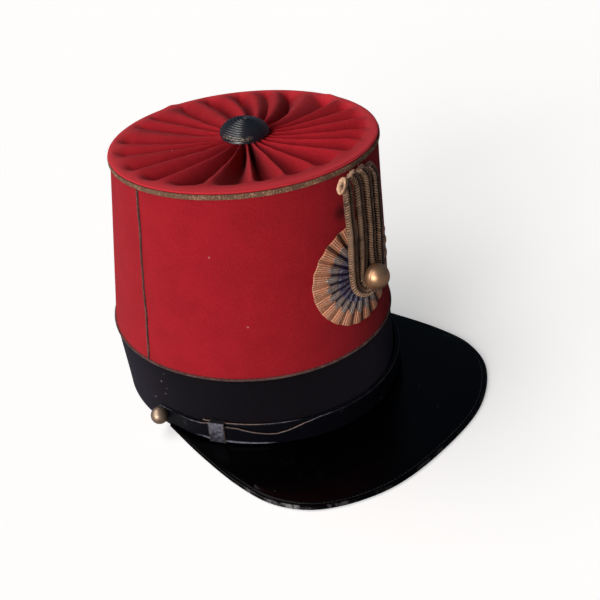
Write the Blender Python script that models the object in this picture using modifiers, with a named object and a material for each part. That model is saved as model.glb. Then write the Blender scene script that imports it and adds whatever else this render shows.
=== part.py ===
"""A tall officer's kepi on a table: a red cloth crown with a pleated top, a dark cloth band, a wide flat peak of
patent leather, a chin strap in two halves, and a cockade under two loops of bullion cord.

Metres, +Z up. The peak points along -Y and the wearer's left is +X. The origin is on the table, below the middle
of the cap. A place on the wall is given as a turn in degrees from the front, positive towards the wearer's left."""

import math
from collections import namedtuple

import bmesh
import bpy
from mathutils import Vector

# The wall of the cap, as ovals at three heights.
Oval = namedtuple("Oval", "half_width half_length centre_y")
HEAD_Y = 0.0300  # the middle of the head opening
RIM = Oval(0.0881, 0.1035, HEAD_Y + 0.0007)
SEAM = Oval(0.0886, 0.1019, HEAD_Y)
CROWN = Oval(0.0774, 0.0855, HEAD_Y - 0.0190)
BAND_HEIGHT = 0.0517
BRAID_BASE = 0.1700
CROWN_HEIGHT = 0.1750
WAIST = 0.0002  # how far the crown's side draws in halfway up
CLOTH = 0.0020
SIDES = 64
CROWN_SPANS = 4

# Gaps that pieces keep where they touch.
GAP = 0.0003
FACET_GAP = 0.0002  # more room, where two faceted rounds lie on each other

# The pleated top. A row is a ring of the cloth: its share of the top's size, its drop below the top, and the
# share of the pleats' depth that it has.
TopRing = namedtuple("TopRing", "reach drop pleat")
TOP_CLOTH = 0.0020
PLEAT_DEPTH = 0.0055
TOP_RINGS = (
    TopRing(1.000, 0.0019, 0.00),
    TopRing(0.986, 0.0004, 0.00),
    TopRing(0.955, 0.0000, 0.00),
    TopRing(0.905, 0.0006, 0.10),
    TopRing(0.840, 0.0011, 0.85),
    TopRing(0.640, 0.0012, 1.00),
    TopRing(0.420, 0.0012, 0.80),
    TopRing(0.235, 0.0016, 0.30),
    TopRing(0.140, 0.0020, 0.00),
)
PLEAT_CENTRE = Vector((0.0025, -0.0016, 0.0))  # where the pleats meet, from the middle of the top
PLEAT_OUTER_REACH = 0.90
PLEAT_INNER_REACH = 0.35
# The valley of each pleat: its turn at the outer and the inner reach, and its share of the full depth.
Pleat = namedtuple("Pleat", "outer inner depth")
PLEATS = (
    Pleat(-175.0, -173.0, 0.50),
    Pleat(-163.0, -156.5, 0.35),
    Pleat(-143.0, -127.5, 0.50),
    Pleat(-127.0, -117.0, 0.30),
    Pleat(-107.0, -106.0, 0.25),
    Pleat(-91.0, -82.0, 0.60),
    Pleat(-73.0, -64.0, 0.80),
    Pleat(-51.0, -49.0, 1.00),
    Pleat(-35.5, -36.0, 1.00),
    Pleat(-21.5, -21.5, 0.95),
    Pleat(-6.0, -10.5, 1.00),
    Pleat(15.0, 5.5, 0.60),
    Pleat(26.0, 19.0, 0.40),
    Pleat(39.0, 30.5, 0.80),
    Pleat(55.0, 50.5, 0.30),
    Pleat(70.0, 62.0, 0.40),
    Pleat(86.5, 73.0, 0.80),
    Pleat(109.5, 94.5, 0.80),
    Pleat(121.5, 112.0, 0.50),
    Pleat(135.5, 125.0, 0.80),
    Pleat(152.0, 140.5, 0.80),
    Pleat(166.5, 173.0, 0.50),
)
PLEAT_STEPS = 4  # points from one valley to the next

# The button of wound cord on the top.
TOP_BUTTON_RADIUS = 0.0160
TOP_BUTTON_RISE = 0.0114
TOP_BUTTON_TURNS = 6

# Braid and piping.
BRAID_HEIGHT = 0.0034
BRAID_THICKNESS = 0.0006
PIPING_RADIUS = 0.0009
BAND_PIPING_RADIUS = 0.0009
SIDE_SEAM_FOOT = 90.0  # turn of the side seam at the band
SIDE_SEAM_HEAD = 91.3  # and at the top
SIDE_PIPING_POINTS = 9

# The peak: half of its outline, from the temple to the middle of the front, with y from the head's middle.
PeakPoint = namedtuple("PeakPoint", "x y")
PEAK_OUTLINE = (
    PeakPoint(0.0900, -0.0080),
    PeakPoint(0.0960, -0.0470),
    PeakPoint(0.0992, -0.0860),
    PeakPoint(0.0957, -0.1160),
    PeakPoint(0.0789, -0.1410),
    PeakPoint(0.0440, -0.1594),
    PeakPoint(0.0000, -0.1640),
)
PEAK_THICKNESS = 0.0023
PEAK_TEMPLE_TURN = 85.0
PEAK_STEPS = 8  # points from one row of the outline to the next

# The chin strap's two halves lie on each other across the front, each held by the other's keeper.
STRAP_THICKNESS = 0.0014
STRAP_LOW = 0.0045
STRAP_HIGH = 0.0186
STRAP_UNDER = 0.0014  # from the band to the back of the half beneath
STRAP_OVER = STRAP_UNDER + STRAP_THICKNESS + GAP
STRAP_STEP = 4.0
BUTTON_TURN = 86.5
KEEPER_TURN = 62.5
STRAP_PAST_BUTTON = 4.5
STRAP_PAST_KEEPER = 6.0
KEEPER_HALF_WIDTH = 3.4  # degrees
KEEPER_LEATHER = 0.0008

# The side buttons that hold the strap's ends. Each is a ball that is cut flat at its seat, and the seat is given as
# a share of the radius below the ball's middle.
SIDE_BUTTON_RADIUS = 0.0058
SIDE_BUTTON_SEAT = 0.60
SIDE_BUTTON_HEIGHT = 0.0130
SIDE_SHANK_RADIUS = 0.0013
SHANK_CLEARANCE = 0.0004

# The cockade: rings of pleated ribbon that bend with the front of the crown.
CockadeRing = namedtuple("CockadeRing", "name outer inner spans base pleat colour")
COCKADE_HEIGHT = 0.1055
COCKADE_ASIDE = 0.0030  # how far it sits to the wearer's left of the middle
COCKADE_PLEATS = 24
COCKADE_RIBBON = 0.0010
COCKADE_BASE = 0.0006
COCKADE_RINGS = (
    CockadeRing("cockade_outer", 0.0343, 0.0252, 1, 0.0014, 0.0008, (0.50, 0.16, 0.07)),
    CockadeRing("cockade_middle", 0.0249, 0.0188, 1, 0.0022, 0.0012, (0.32, 0.30, 0.30)),
    CockadeRing("cockade_centre", 0.0185, 0.0030, 2, 0.0022, 0.0010, (0.03, 0.03, 0.12)),
)

# The two loops of bullion cord, one inside the other, and the button that they pass round. A station of a strand
# is its height above the middle of the eye, its distance from the wall to the middle of the cord, and how far it
# bends to the wearer's right as it goes in over the braid.
CordLoop = namedtuple("CordLoop", "name spread eye trim")
Station = namedtuple("Station", "up proud aside")
LooseEnd = namedtuple("LooseEnd", "across up proud")
CORD_RADIUS = 0.0027
CORD_LOOPS = (
    CordLoop("cord_loop_outer", 0.0109, 0.0110, 0.0015),
    CordLoop("cord_loop_inner", 0.0036, 0.0050, 0.0000),
)
CORD_STRAND = (
    Station(0.0655, 0.0043, 0.0026),
    Station(0.0630, 0.0060, 0.0012),
    Station(0.0590, 0.0071, 0.0003),
    Station(0.0500, 0.0074, 0.0),
    Station(0.0410, 0.0074, 0.0),
    Station(0.0320, 0.0074, 0.0),
    Station(0.0230, 0.0074, 0.0),
    Station(0.0140, 0.0074, 0.0),
    Station(0.0070, 0.0074, 0.0),
)
EYE_ACROSS = 0.0005  # the middle of the eye, from the middle of the cockade
EYE_UP = -0.0010
CORD_STANDOFF = CORD_STRAND[-1].proud
CORD_EYE_BLEND = 0.0150  # height over which the strands open into the eye
CORD_EYE_POINTS = 10
# The outer loop's right end was cut and has curled out from the wall.
CORD_LOOSE_END = (
    LooseEnd(-0.0185, 0.0655, 0.0122),
    LooseEnd(-0.0160, 0.0640, 0.0105),
    LooseEnd(-0.0132, 0.0618, 0.0088),
    LooseEnd(-0.0115, 0.0580, 0.0077),
)
LOOSE_STATIONS = 3  # stations of the strand that the curled end takes the place of
COCKADE_BUTTON_ACROSS = -0.0001  # from the middle of the cockade
COCKADE_BUTTON_UP = -0.0003
COCKADE_BUTTON_RADIUS = 0.0080
COCKADE_BUTTON_SEAT = 0.39
COCKADE_SHANK_RADIUS = 0.0010
BALL_SPANS = 7

RED_CLOTH = (0.42, 0.02, 0.04)
BLACK_CLOTH = (0.012, 0.012, 0.018)
PATENT_LEATHER = (0.006, 0.006, 0.008)
WORN_LEATHER = (0.05, 0.045, 0.045)
GILT_BRAID = (0.24, 0.17, 0.07)
PIPING_CORD = (0.13, 0.09, 0.08)
BULLION = (0.20, 0.15, 0.09)
BRASS = (0.50, 0.34, 0.14)
BLACK_CORD = (0.015, 0.015, 0.022)


def mix(low, high, share):
    return low + (high - low) * share


def oval_at(height):
    """The wall's oval at a height: straight through the band, and drawn in by the waist above it."""
    if height <= BAND_HEIGHT:
        share, low, high, waist = height / BAND_HEIGHT, RIM, SEAM, 0.0
    else:
        share = min(1.0, (height - BAND_HEIGHT) / (BRAID_BASE - BAND_HEIGHT))
        low, high, waist = SEAM, CROWN, WAIST
    drawn = 4.0 * waist * share * (1.0 - share)
    return Oval(
        mix(low.half_width, high.half_width, share) - drawn,
        mix(low.half_length, high.half_length, share) - drawn,
        mix(low.centre_y, high.centre_y, share),
    )


def outward(oval, turn):
    angle = math.radians(turn)
    return Vector((math.sin(angle) / oval.half_width, -math.cos(angle) / oval.half_length, 0.0)).normalized()


def on_wall(turn, height, proud=0.0):
    """A point proud metres outside the wall."""
    oval = oval_at(height)
    angle = math.radians(turn)
    x = oval.half_width * math.sin(angle)
    y = oval.centre_y - oval.half_length * math.cos(angle)
    return Vector((x, y, height)) + outward(oval, turn) * proud


def on_front(across, up, proud):
    """A point by its distances across and up from the cockade's middle, measured along the front of the wall."""
    height = COCKADE_HEIGHT + up
    turn = math.degrees((COCKADE_ASIDE + across) / oval_at(height).half_width)
    return on_wall(turn, height, proud)


def full_turns():
    return [360.0 * side / SIDES for side in range(SIDES)]


def turns_between(first, last, step):
    spans = max(1, round(abs(last - first) / step))
    return [mix(first, last, span / spans) for span in range(spans + 1)]


def paint(piece, colour, roughness, metallic=0.0):
    material = bpy.data.materials.new(piece.name)
    material.use_nodes = True
    shader = material.node_tree.nodes["Principled BSDF"]
    shader.inputs["Base Color"].default_value = (*colour, 1.0)
    shader.inputs["Roughness"].default_value = roughness
    shader.inputs["Metallic"].default_value = metallic
    piece.data.materials.append(material)
    return piece


def add_piece(name, mesh_or_curve, collection="kepi"):
    piece = bpy.data.objects.new(name, mesh_or_curve)
    bpy.data.collections[collection].objects.link(piece)
    return piece


def loft(name, rows, closed=True, capped=False, looped=False):
    """A skin through rows of points, each row the same count. Its faces look outwards where the points run with
    the turn and the rows run up. A capped skin has both end rows filled, and a looped one joins its last row to
    its first."""
    shape = bmesh.new()
    grid = [[shape.verts.new(point) for point in row] for row in rows]
    columns = len(rows[0])
    for low, high in zip(grid, grid[1:] + (grid[:1] if looped else [])):
        for column in range(columns if closed else columns - 1):
            after = (column + 1) % columns
            shape.faces.new((low[column], low[after], high[after], high[column]))
    if capped:
        shape.faces.new(grid[-1])
        shape.faces.new(reversed(grid[0]))
    mesh = bpy.data.meshes.new(name)
    shape.to_mesh(mesh)
    shape.free()
    mesh.shade_smooth()
    mesh.set_sharp_from_angle(angle=math.radians(40))
    return add_piece(name, mesh)


def thicken(piece, thickness):
    """A wall of this thickness behind the skin."""
    wall = piece.modifiers.new("thickness", "SOLIDIFY")
    wall.thickness = thickness
    wall.offset = -1.0
    wall.use_even_offset = True
    return piece


def tube(name, points, radius, closed=False, sides_level=0):
    """A cord along the points: level 0 has four sides, 1 has six and 2 has eight."""
    curve = bpy.data.curves.new(name, "CURVE")
    curve.dimensions = "3D"
    spline = curve.splines.new("POLY")
    spline.points.add(len(points) - 1)
    for place, point in zip(spline.points, points):
        place.co = (*point, 1.0)
    spline.use_cyclic_u = closed
    curve.bevel_depth = radius
    curve.bevel_resolution = sides_level
    curve.use_fill_caps = not closed
    return add_piece(name, curve)


def turned(name, profile, steps):
    """A turned piece about its own Z, from a profile of (radius, height) that runs from the top to the bottom."""
    mesh = bpy.data.meshes.new(name)
    edges = [(index, index + 1) for index in range(len(profile) - 1)]
    mesh.from_pydata([(radius, 0.0, height) for radius, height in profile], edges, [])
    piece = add_piece(name, mesh)
    screw = piece.modifiers.new("turn", "SCREW")
    screw.steps = steps
    screw.render_steps = steps
    screw.use_merge_vertices = True
    screw.merge_threshold = 0.00001
    screw.use_smooth_shade = True
    return piece


def stand_on_wall(piece, turn, height, proud):
    """Turns a piece's Z outwards from the wall and sets its origin there."""
    piece.location = on_wall(turn, height, proud)
    piece.rotation_mode = "QUATERNION"
    piece.rotation_quaternion = outward(oval_at(height), turn).to_track_quat("Z", "Y")
    return piece


def wall_ring(name, heights, thickness, proud=0.0):
    """A ring of cloth or braid round the cap, its edges cut level."""
    outer = [[on_wall(turn, height, proud) for turn in full_turns()] for height in heights]
    inner = [[on_wall(turn, height, proud - thickness) for turn in full_turns()] for height in reversed(heights)]
    return loft(name, outer + inner, looped=True)


def make_band():
    paint(wall_ring("band", (0.0, BAND_HEIGHT), CLOTH), BLACK_CLOTH, 0.9)


def make_crown_side():
    heights = [mix(BAND_HEIGHT + GAP, BRAID_BASE, span / CROWN_SPANS) for span in range(CROWN_SPANS + 1)]
    heights.append(CROWN_HEIGHT - TOP_RINGS[0].drop - GAP)
    paint(wall_ring("crown_side", heights, CLOTH), RED_CLOTH, 0.85)


def pleat_columns():
    """For each point round the top: its turn at the outer and the inner reach, and its depth below the ridges."""
    columns = []
    for pleat, after in zip(PLEATS, PLEATS[1:] + PLEATS[:1]):
        wrap = 360.0 if after.outer < pleat.outer else 0.0
        for step in range(PLEAT_STEPS):
            share = step / PLEAT_STEPS
            depth = (pleat if share < 0.5 else after).depth * (1.0 - math.sin(math.pi * share) ** 1.6)
            outer = mix(pleat.outer, after.outer + wrap, share)
            inner = mix(pleat.inner, after.inner + wrap, share)
            columns.append((outer, inner, depth))
    return columns


def top_point(ring, outer, inner, depth, narrower=0.0, lower=0.0):
    """A point of the pleated top, or of its underside, which is narrower and lower."""
    share = (PLEAT_OUTER_REACH - ring.reach) / (PLEAT_OUTER_REACH - PLEAT_INNER_REACH)
    angle = math.radians(mix(outer, inner, min(1.0, max(0.0, share))))
    x = (CROWN.half_width - narrower) * ring.reach * math.sin(angle)
    y = CROWN.centre_y - (CROWN.half_length - narrower) * ring.reach * math.cos(angle)
    height = CROWN_HEIGHT - lower - ring.drop - PLEAT_DEPTH * ring.pleat * depth
    return Vector((x, y, height)) + PLEAT_CENTRE * (1.0 - ring.reach)


def make_crown_top():
    columns = pleat_columns()
    edge = TOP_RINGS[0]
    rows = [[top_point(ring, *column, TOP_CLOTH, TOP_CLOTH) for column in columns] for ring in TOP_RINGS[:0:-1]]
    rows.append([top_point(edge, *column, TOP_CLOTH) for column in columns])
    rows += [[top_point(ring, *column) for column in columns] for ring in TOP_RINGS]
    paint(loft("crown_top", rows, capped=True), RED_CLOTH, 0.85)


def make_top_button():
    """A dome wound from rings of cord, on a flat base that sits on the gathered middle of the pleats."""
    base = CROWN_HEIGHT - TOP_RINGS[-1].drop
    profile = []
    points = 2 * TOP_BUTTON_TURNS
    for index in range(points + 1):
        share = index / points
        ridge = 0.0004 if index % 2 else 0.0
        angle = share * math.pi / 2
        reach = TOP_BUTTON_RADIUS * math.sin(angle) + ridge * math.sin(angle)
        profile.append((reach, TOP_BUTTON_RISE * (0.25 + 0.75 * math.cos(angle)) + ridge * math.cos(angle)))
    profile += [(TOP_BUTTON_RADIUS, 0.0008), (0.93 * TOP_BUTTON_RADIUS, 0.0), (0.0, 0.0)]
    piece = turned("top_button", profile, 24)
    piece.location = Vector((0.0, CROWN.centre_y, base + GAP)) + PLEAT_CENTRE
    paint(piece, BLACK_CORD, 0.6)


def make_top_braid():
    proud = GAP + FACET_GAP + BRAID_THICKNESS
    braid = wall_ring("top_braid", (BRAID_BASE, BRAID_BASE + BRAID_HEIGHT), BRAID_THICKNESS, proud)
    paint(braid, GILT_BRAID, 0.5, 0.6)


def make_band_piping():
    proud = BAND_PIPING_RADIUS + GAP + FACET_GAP
    points = [on_wall(turn, BAND_HEIGHT, proud) for turn in full_turns()]
    paint(tube("band_piping", points, BAND_PIPING_RADIUS, closed=True), PIPING_CORD, 0.8)


def make_side_piping(name, side):
    low = BAND_HEIGHT + BAND_PIPING_RADIUS + GAP
    high = BRAID_BASE - GAP
    points = []
    for index in range(SIDE_PIPING_POINTS):
        share = index / (SIDE_PIPING_POINTS - 1)
        turn = side * mix(SIDE_SEAM_FOOT, SIDE_SEAM_HEAD, share)
        points.append(on_wall(turn, mix(low, high, share), PIPING_RADIUS + GAP + FACET_GAP))
    paint(tube(name, points, PIPING_RADIUS), PIPING_CORD, 0.8)


def smooth_path(points, steps):
    """A Catmull-Rom curve through the points, with this many steps from one to the next."""
    padded = [2 * points[0] - points[1], *points, 2 * points[-1] - points[-2]]
    path = []
    for before, start, end, after in zip(padded, padded[1:], padded[2:], padded[3:]):
        for step in range(steps):
            t = step / steps
            bend = (2 * before - 5 * start + 4 * end - after) * t * t
            bend += (3 * start - before - 3 * end + after) * t * t * t
            path.append((2 * start + (end - before) * t + bend) / 2)
    return path + [points[-1]]


def peak_outline():
    """The whole outer edge, from the wearer's right temple round the front to the left one."""
    left = [Vector((point.x, HEAD_Y + point.y, 0.0)) for point in PEAK_OUTLINE]
    right = [Vector((-point.x, point.y, 0.0)) for point in left]
    return smooth_path(right + left[-2::-1], PEAK_STEPS)


def make_peak():
    """A flat plate that lies on the table. Its inner edge follows the band, and it runs out at the temples."""
    outer = peak_outline()
    count = len(outer) - 1
    inner = []
    for index in range(count + 1):
        turn = mix(-PEAK_TEMPLE_TURN, PEAK_TEMPLE_TURN, index / count)
        inner.append(on_wall(turn, 0.0, GAP + FACET_GAP))
    lift = Vector((0.0, 0.0, PEAK_THICKNESS))
    middle = [a.lerp(b, 0.5) for a, b in zip(outer, inner)]
    rows = [[point + lift for point in row] for row in (outer, middle, inner)]
    peak = thicken(loft("peak", rows, closed=False), PEAK_THICKNESS)
    paint(peak, PATENT_LEATHER, 0.2)


def strap_strip(name, first, last, proud_at, round_first, round_last):
    """A strap along the band between two turns, with a round tip where asked. proud_at gives its outer face."""
    middle = (STRAP_LOW + STRAP_HIGH) / 2
    half = (STRAP_HIGH - STRAP_LOW) / 2
    reach = math.degrees(half / oval_at(middle).half_length)
    turns = turns_between(first + reach, last - reach, STRAP_STEP)
    tips = [(first + reach * (1.0 - math.cos(math.radians(a))), math.sin(math.radians(a))) for a in (20, 45, 68)]
    tails = [(last - reach * (1.0 - math.cos(math.radians(a))), math.sin(math.radians(a))) for a in (68, 45, 20)]
    stations = tips if round_first else [(first, 1.0)]
    stations = stations + [(turn, 1.0) for turn in turns]
    stations += tails if round_last else [(last, 1.0)]
    rows = [
        [on_wall(turn, middle + side * half * width, proud_at(turn)) for turn, width in stations]
        for side in (-1.0, 1.0)
    ]
    return thicken(loft(name, rows, closed=False), STRAP_THICKNESS)


def drill(piece, turn):
    """Cuts the hole for a side button's shank through a strap."""
    bpy.ops.mesh.primitive_cylinder_add(vertices=16, radius=SIDE_SHANK_RADIUS + SHANK_CLEARANCE, depth=0.02)
    cutter = bpy.context.object
    cutter.name = piece.name + "_hole"
    for home in list(cutter.users_collection):
        home.objects.unlink(cutter)
    bpy.data.collections["cutters"].objects.link(cutter)
    cutter.hide_render = True
    cutter.display_type = "WIRE"
    stand_on_wall(cutter, turn, SIDE_BUTTON_HEIGHT, 0.0)
    cut = piece.modifiers.new("hole", "BOOLEAN")
    cut.operation = "DIFFERENCE"
    cut.object = cutter


def over_proud(turn):
    """The outer face of the right half: close to the band at its button, and on the left half past the keeper."""
    start = -BUTTON_TURN + STRAP_PAST_BUTTON
    end = -KEEPER_TURN - KEEPER_HALF_WIDTH - STRAP_PAST_KEEPER
    share = min(1.0, max(0.0, (turn - start) / (end - start)))
    return mix(STRAP_UNDER, STRAP_OVER, share * share * (3.0 - 2.0 * share)) + STRAP_THICKNESS


def make_chin_strap():
    under = strap_strip(
        "chin_strap_left",
        -KEEPER_TURN - STRAP_PAST_KEEPER,
        BUTTON_TURN + STRAP_PAST_BUTTON,
        lambda turn: STRAP_UNDER + STRAP_THICKNESS,
        False,
        True,
    )
    over = strap_strip(
        "chin_strap_right",
        -BUTTON_TURN - STRAP_PAST_BUTTON,
        KEEPER_TURN + STRAP_PAST_KEEPER,
        over_proud,
        True,
        False,
    )
    drill(under, BUTTON_TURN)
    drill(over, -BUTTON_TURN)
    paint(under, PATENT_LEATHER, 0.3)
    paint(over, PATENT_LEATHER, 0.3)


def make_keeper(name, side):
    """A loop of leather round both halves of the strap."""
    near = GAP + KEEPER_LEATHER
    far = STRAP_OVER + STRAP_THICKNESS + GAP
    low = STRAP_LOW - GAP
    high = STRAP_HIGH + GAP
    inner_loop = ((near, low), (far, low), (far, high), (near, high))
    turns = turns_between(side * KEEPER_TURN - KEEPER_HALF_WIDTH, side * KEEPER_TURN + KEEPER_HALF_WIDTH, 2.4)
    rows = [[on_wall(turn, height, proud) for proud, height in inner_loop] for turn in turns]
    paint(thicken(loft(name, rows), KEEPER_LEATHER), WORN_LEATHER, 0.5)


def ball_profile(radius, seat, shank_radius, shank_length):
    """A ball button on a shank: the ball is cut flat at its seat, at the top of the shank."""
    middle = shank_length + seat * radius
    last = math.pi - math.acos(seat)
    ball = []
    for index in range(BALL_SPANS + 1):
        angle = last * index / BALL_SPANS
        ball.append((radius * math.sin(angle), middle + radius * math.cos(angle)))
    return ball + [(shank_radius, shank_length), (shank_radius, 0.0), (0.0, 0.0)]


def make_side_button(name, side):
    length = STRAP_UNDER + STRAP_THICKNESS
    profile = ball_profile(SIDE_BUTTON_RADIUS, SIDE_BUTTON_SEAT, SIDE_SHANK_RADIUS, length)
    piece = stand_on_wall(turned(name, profile, 16), side * BUTTON_TURN, SIDE_BUTTON_HEIGHT, GAP)
    paint(piece, BRASS, 0.35, 1.0)


def make_cockade_ring(ring):
    """A ring of ribbon in radial pleats, bent with the wall."""
    points = 2 * COCKADE_PLEATS
    rows = []
    for span in range(ring.spans + 1):
        reach = mix(ring.outer, ring.inner, span / ring.spans)
        row = []
        for index in range(points):
            angle = math.tau * index / points
            proud = ring.base + COCKADE_BASE + (ring.pleat if index % 2 else 0.0)
            row.append(on_front(reach * math.cos(angle), reach * math.sin(angle), proud))
        rows.append(row)
    paint(thicken(loft(ring.name, rows), COCKADE_RIBBON), ring.colour, 0.5, 0.4)


def cord_path(loop, loose_end):
    """The left strand down, the eye round the button and the right strand up, as places across, up and proud
    from the middle of the eye."""
    strand = []
    for station in CORD_STRAND:
        share = min(1.0, max(0.0, 1.0 - station.up / CORD_EYE_BLEND))
        across = mix(loop.spread, loop.eye, share * share * (3.0 - 2.0 * share))
        strand.append((across, station.up - loop.trim, station.proud, station.aside))
    eye = []
    for index in range(CORD_EYE_POINTS + 1):
        angle = math.pi * index / CORD_EYE_POINTS
        eye.append((loop.eye * math.cos(angle), -loop.eye * math.sin(angle), CORD_STANDOFF))
    left = [(across - aside, up, proud) for across, up, proud, aside in strand]
    right = [(-across - aside, up, proud) for across, up, proud, aside in strand]
    if loose_end:
        right = list(loose_end) + right[LOOSE_STATIONS:]
    return left + eye + right[::-1]


def on_loops(across, up, proud):
    """A point by its distances across and up from the middle of the eye."""
    return on_front(EYE_ACROSS + across, EYE_UP + up, proud)


def make_cord_loop(loop, loose_end=()):
    points = [on_loops(*place) for place in cord_path(loop, loose_end)]
    paint(tube(loop.name, points, CORD_RADIUS, sides_level=2), BULLION, 0.5, 0.5)


def make_cockade_button():
    length = CORD_STANDOFF + CORD_RADIUS
    profile = ball_profile(COCKADE_BUTTON_RADIUS, COCKADE_BUTTON_SEAT, COCKADE_SHANK_RADIUS, length)
    height = COCKADE_HEIGHT + COCKADE_BUTTON_UP
    turn = math.degrees((COCKADE_ASIDE + COCKADE_BUTTON_ACROSS) / oval_at(height).half_width)
    piece = stand_on_wall(turned("cockade_button", profile, 20), turn, height, GAP)
    paint(piece, BRASS, 0.3, 1.0)


def clear_scene():
    for piece in list(bpy.data.objects):
        bpy.data.objects.remove(piece)
    for name in ("kepi", "cutters"):
        bpy.context.scene.collection.children.link(bpy.data.collections.new(name))


def main():
    clear_scene()
    make_band()
    make_crown_side()
    make_crown_top()
    make_top_button()
    make_top_braid()
    make_band_piping()
    make_peak()
    make_chin_strap()
    for label, side in (("right", -1.0), ("left", 1.0)):
        make_side_piping("side_piping_" + label, side)
        make_keeper("strap_keeper_" + label, side)
        make_side_button("side_button_" + label, side)
    for ring in COCKADE_RINGS:
        make_cockade_ring(ring)
    outer_loop, inner_loop = CORD_LOOPS
    make_cord_loop(outer_loop, CORD_LOOSE_END)
    make_cord_loop(inner_loop)
    make_cockade_button()


main()
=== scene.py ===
"""The looks of a tall officer's kepi: red cloth with a pleated top, a dark band and a patent peak,
a chin strap in two halves, and a pleated ribbon cockade under two loops of bullion cord.

Everything is in metres in the frame of the solids: the peak points along -Y, the wearer's left is
+X and the table is at Z 0. A place on the wall is a turn in degrees from the front, positive
towards the wearer's left. A reach is a distance from the middle of the top, as a share of its rim's."""

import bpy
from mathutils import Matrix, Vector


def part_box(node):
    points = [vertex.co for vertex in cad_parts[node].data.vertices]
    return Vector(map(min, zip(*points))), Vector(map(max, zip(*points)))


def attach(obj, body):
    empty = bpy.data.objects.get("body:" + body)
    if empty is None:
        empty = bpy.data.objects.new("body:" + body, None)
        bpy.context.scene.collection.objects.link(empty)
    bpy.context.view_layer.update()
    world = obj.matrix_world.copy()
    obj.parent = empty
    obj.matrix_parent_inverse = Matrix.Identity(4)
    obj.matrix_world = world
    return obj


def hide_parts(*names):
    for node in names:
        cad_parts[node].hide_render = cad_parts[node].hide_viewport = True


bl_info = {
    "name": "Officer's Kepi",
    "version": (1, 0, 0),
    "blender": (4, 5, 0),
    "location": "3D View > Sidebar > Kepi",
    "description": "Dresses the kepi's solids in cloth, leather, braid, cord and ribbon",
    "category": "Object",
}

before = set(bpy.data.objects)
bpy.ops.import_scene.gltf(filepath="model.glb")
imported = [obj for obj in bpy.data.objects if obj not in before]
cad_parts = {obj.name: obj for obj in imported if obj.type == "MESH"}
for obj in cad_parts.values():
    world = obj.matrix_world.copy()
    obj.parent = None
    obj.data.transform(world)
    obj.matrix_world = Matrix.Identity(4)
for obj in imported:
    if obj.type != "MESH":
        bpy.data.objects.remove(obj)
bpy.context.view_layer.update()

import math
from collections import namedtuple

import bmesh
import bpy
from bpy.props import FloatProperty, FloatVectorProperty, IntProperty, PointerProperty
from mathutils import Matrix, Vector, noise

# ----------------------------------------------------------------------------
# The wall, read from the solids
# ----------------------------------------------------------------------------

Oval = namedtuple("Oval", "half_width half_length centre_y")


def wall_rows():
    """The wall's outer ovals by height, lowest first, from the rows of points in the band and in
    the crown's side."""
    rows = {}
    for node in ("band", "crown_side"):
        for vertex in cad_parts[node].data.vertices:
            rows.setdefault(round(vertex.co.z, 4), []).append(vertex.co)
    ovals = []
    for height, points in sorted(rows.items()):
        front = min(point.y for point in points)
        back = max(point.y for point in points)
        half_width = max(point.x for point in points)
        ovals.append((height, Oval(half_width, (back - front) / 2, (back + front) / 2)))
    return ovals


WALL = wall_rows()


def mix(low, high, share):
    return low + (high - low) * share


def clamp(share):
    return min(1.0, max(0.0, share))


def ease(low, high, value):
    """From 0 at low to 1 at high, with soft ends."""
    share = clamp((value - low) / (high - low))
    return share * share * (3.0 - 2.0 * share)


def reading(rows, at):
    """Reads a table of (place, value) rows, with even slopes from row to row. Beyond the first and
    the last row their values are kept."""
    if at <= rows[0][0]:
        return rows[0][1]
    for (start, low), (end, high) in zip(rows, rows[1:]):
        if at <= end:
            return mix(low, high, (at - start) / (end - start))
    return rows[-1][1]


def oval_at(height):
    """The wall's oval at a height."""
    if height <= WALL[0][0]:
        return WALL[0][1]
    for (start, low), (end, high) in zip(WALL, WALL[1:]):
        if height <= end:
            share = (height - start) / (end - start)
            return Oval(*(mix(a, b, share) for a, b in zip(low, high)))
    return WALL[-1][1]


def outward(turn, height):
    oval = oval_at(height)
    angle = math.radians(turn)
    return Vector((math.sin(angle) / oval.half_width, -math.cos(angle) / oval.half_length, 0.0)).normalized()


def on_wall(turn, height, proud=0.0):
    """A point proud metres outside the wall."""
    oval = oval_at(height)
    angle = math.radians(turn)
    x = oval.half_width * math.sin(angle)
    y = oval.centre_y - oval.half_length * math.cos(angle)
    return Vector((x, y, height)) + outward(turn, height) * proud


def turn_of(point):
    """The turn of a point that lies on or near the wall."""
    oval = oval_at(point.z)
    return math.degrees(math.atan2(point.x / oval.half_width, (oval.centre_y - point.y) / oval.half_length))


def middle_of(node):
    low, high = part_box(node)
    return (Vector(low) + Vector(high)) / 2


def turn_range(node):
    """The first and the last turn that a node covers."""
    turns = [turn_of(vertex.co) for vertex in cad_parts[node].data.vertices]
    return min(turns), max(turns)


# ----------------------------------------------------------------------------
# Sizes
# ----------------------------------------------------------------------------

BAND_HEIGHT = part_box("band")[1][2]
BRAID_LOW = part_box("top_braid")[0][2]
BRAID_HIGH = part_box("top_braid")[1][2]
TOP_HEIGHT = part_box("crown_top")[1][2]
CROWN = oval_at(BRAID_LOW)
CLOTH = 0.0018  # thickness of the crown's side and of the band
GAP = 0.0003  # between pieces that meet
WALL_STEPS = 288  # points round the wall
CROWN_ROWS = 56
BAND_ROWS = 24
WAVES_UP = 22.0  # how quickly the cloth's wandering changes with the height

# A dark spot on the crown beside the cords.
DARK_SPOT_TURN = -5.5
DARK_SPOT_HEIGHT = 0.1475
DARK_SPOT_RADIUS = 0.0075
DARK_SPOT_STRENGTH = 0.8

# The piping is sewn into its seam, so the cord lies partly sunk in the cloth.
PIPING_SEAT = 0.0003  # from the wall to the middle of the cord
PIPING_PITCH = 0.0024  # along the cord, for one full turn of its plies
PIPING_WAIST = 0.66  # the cord's radius between its plies, as a share
PIPING_SIDES = 10
PIPING_STEPS = 4  # points along the cord for each half turn of its plies
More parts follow.
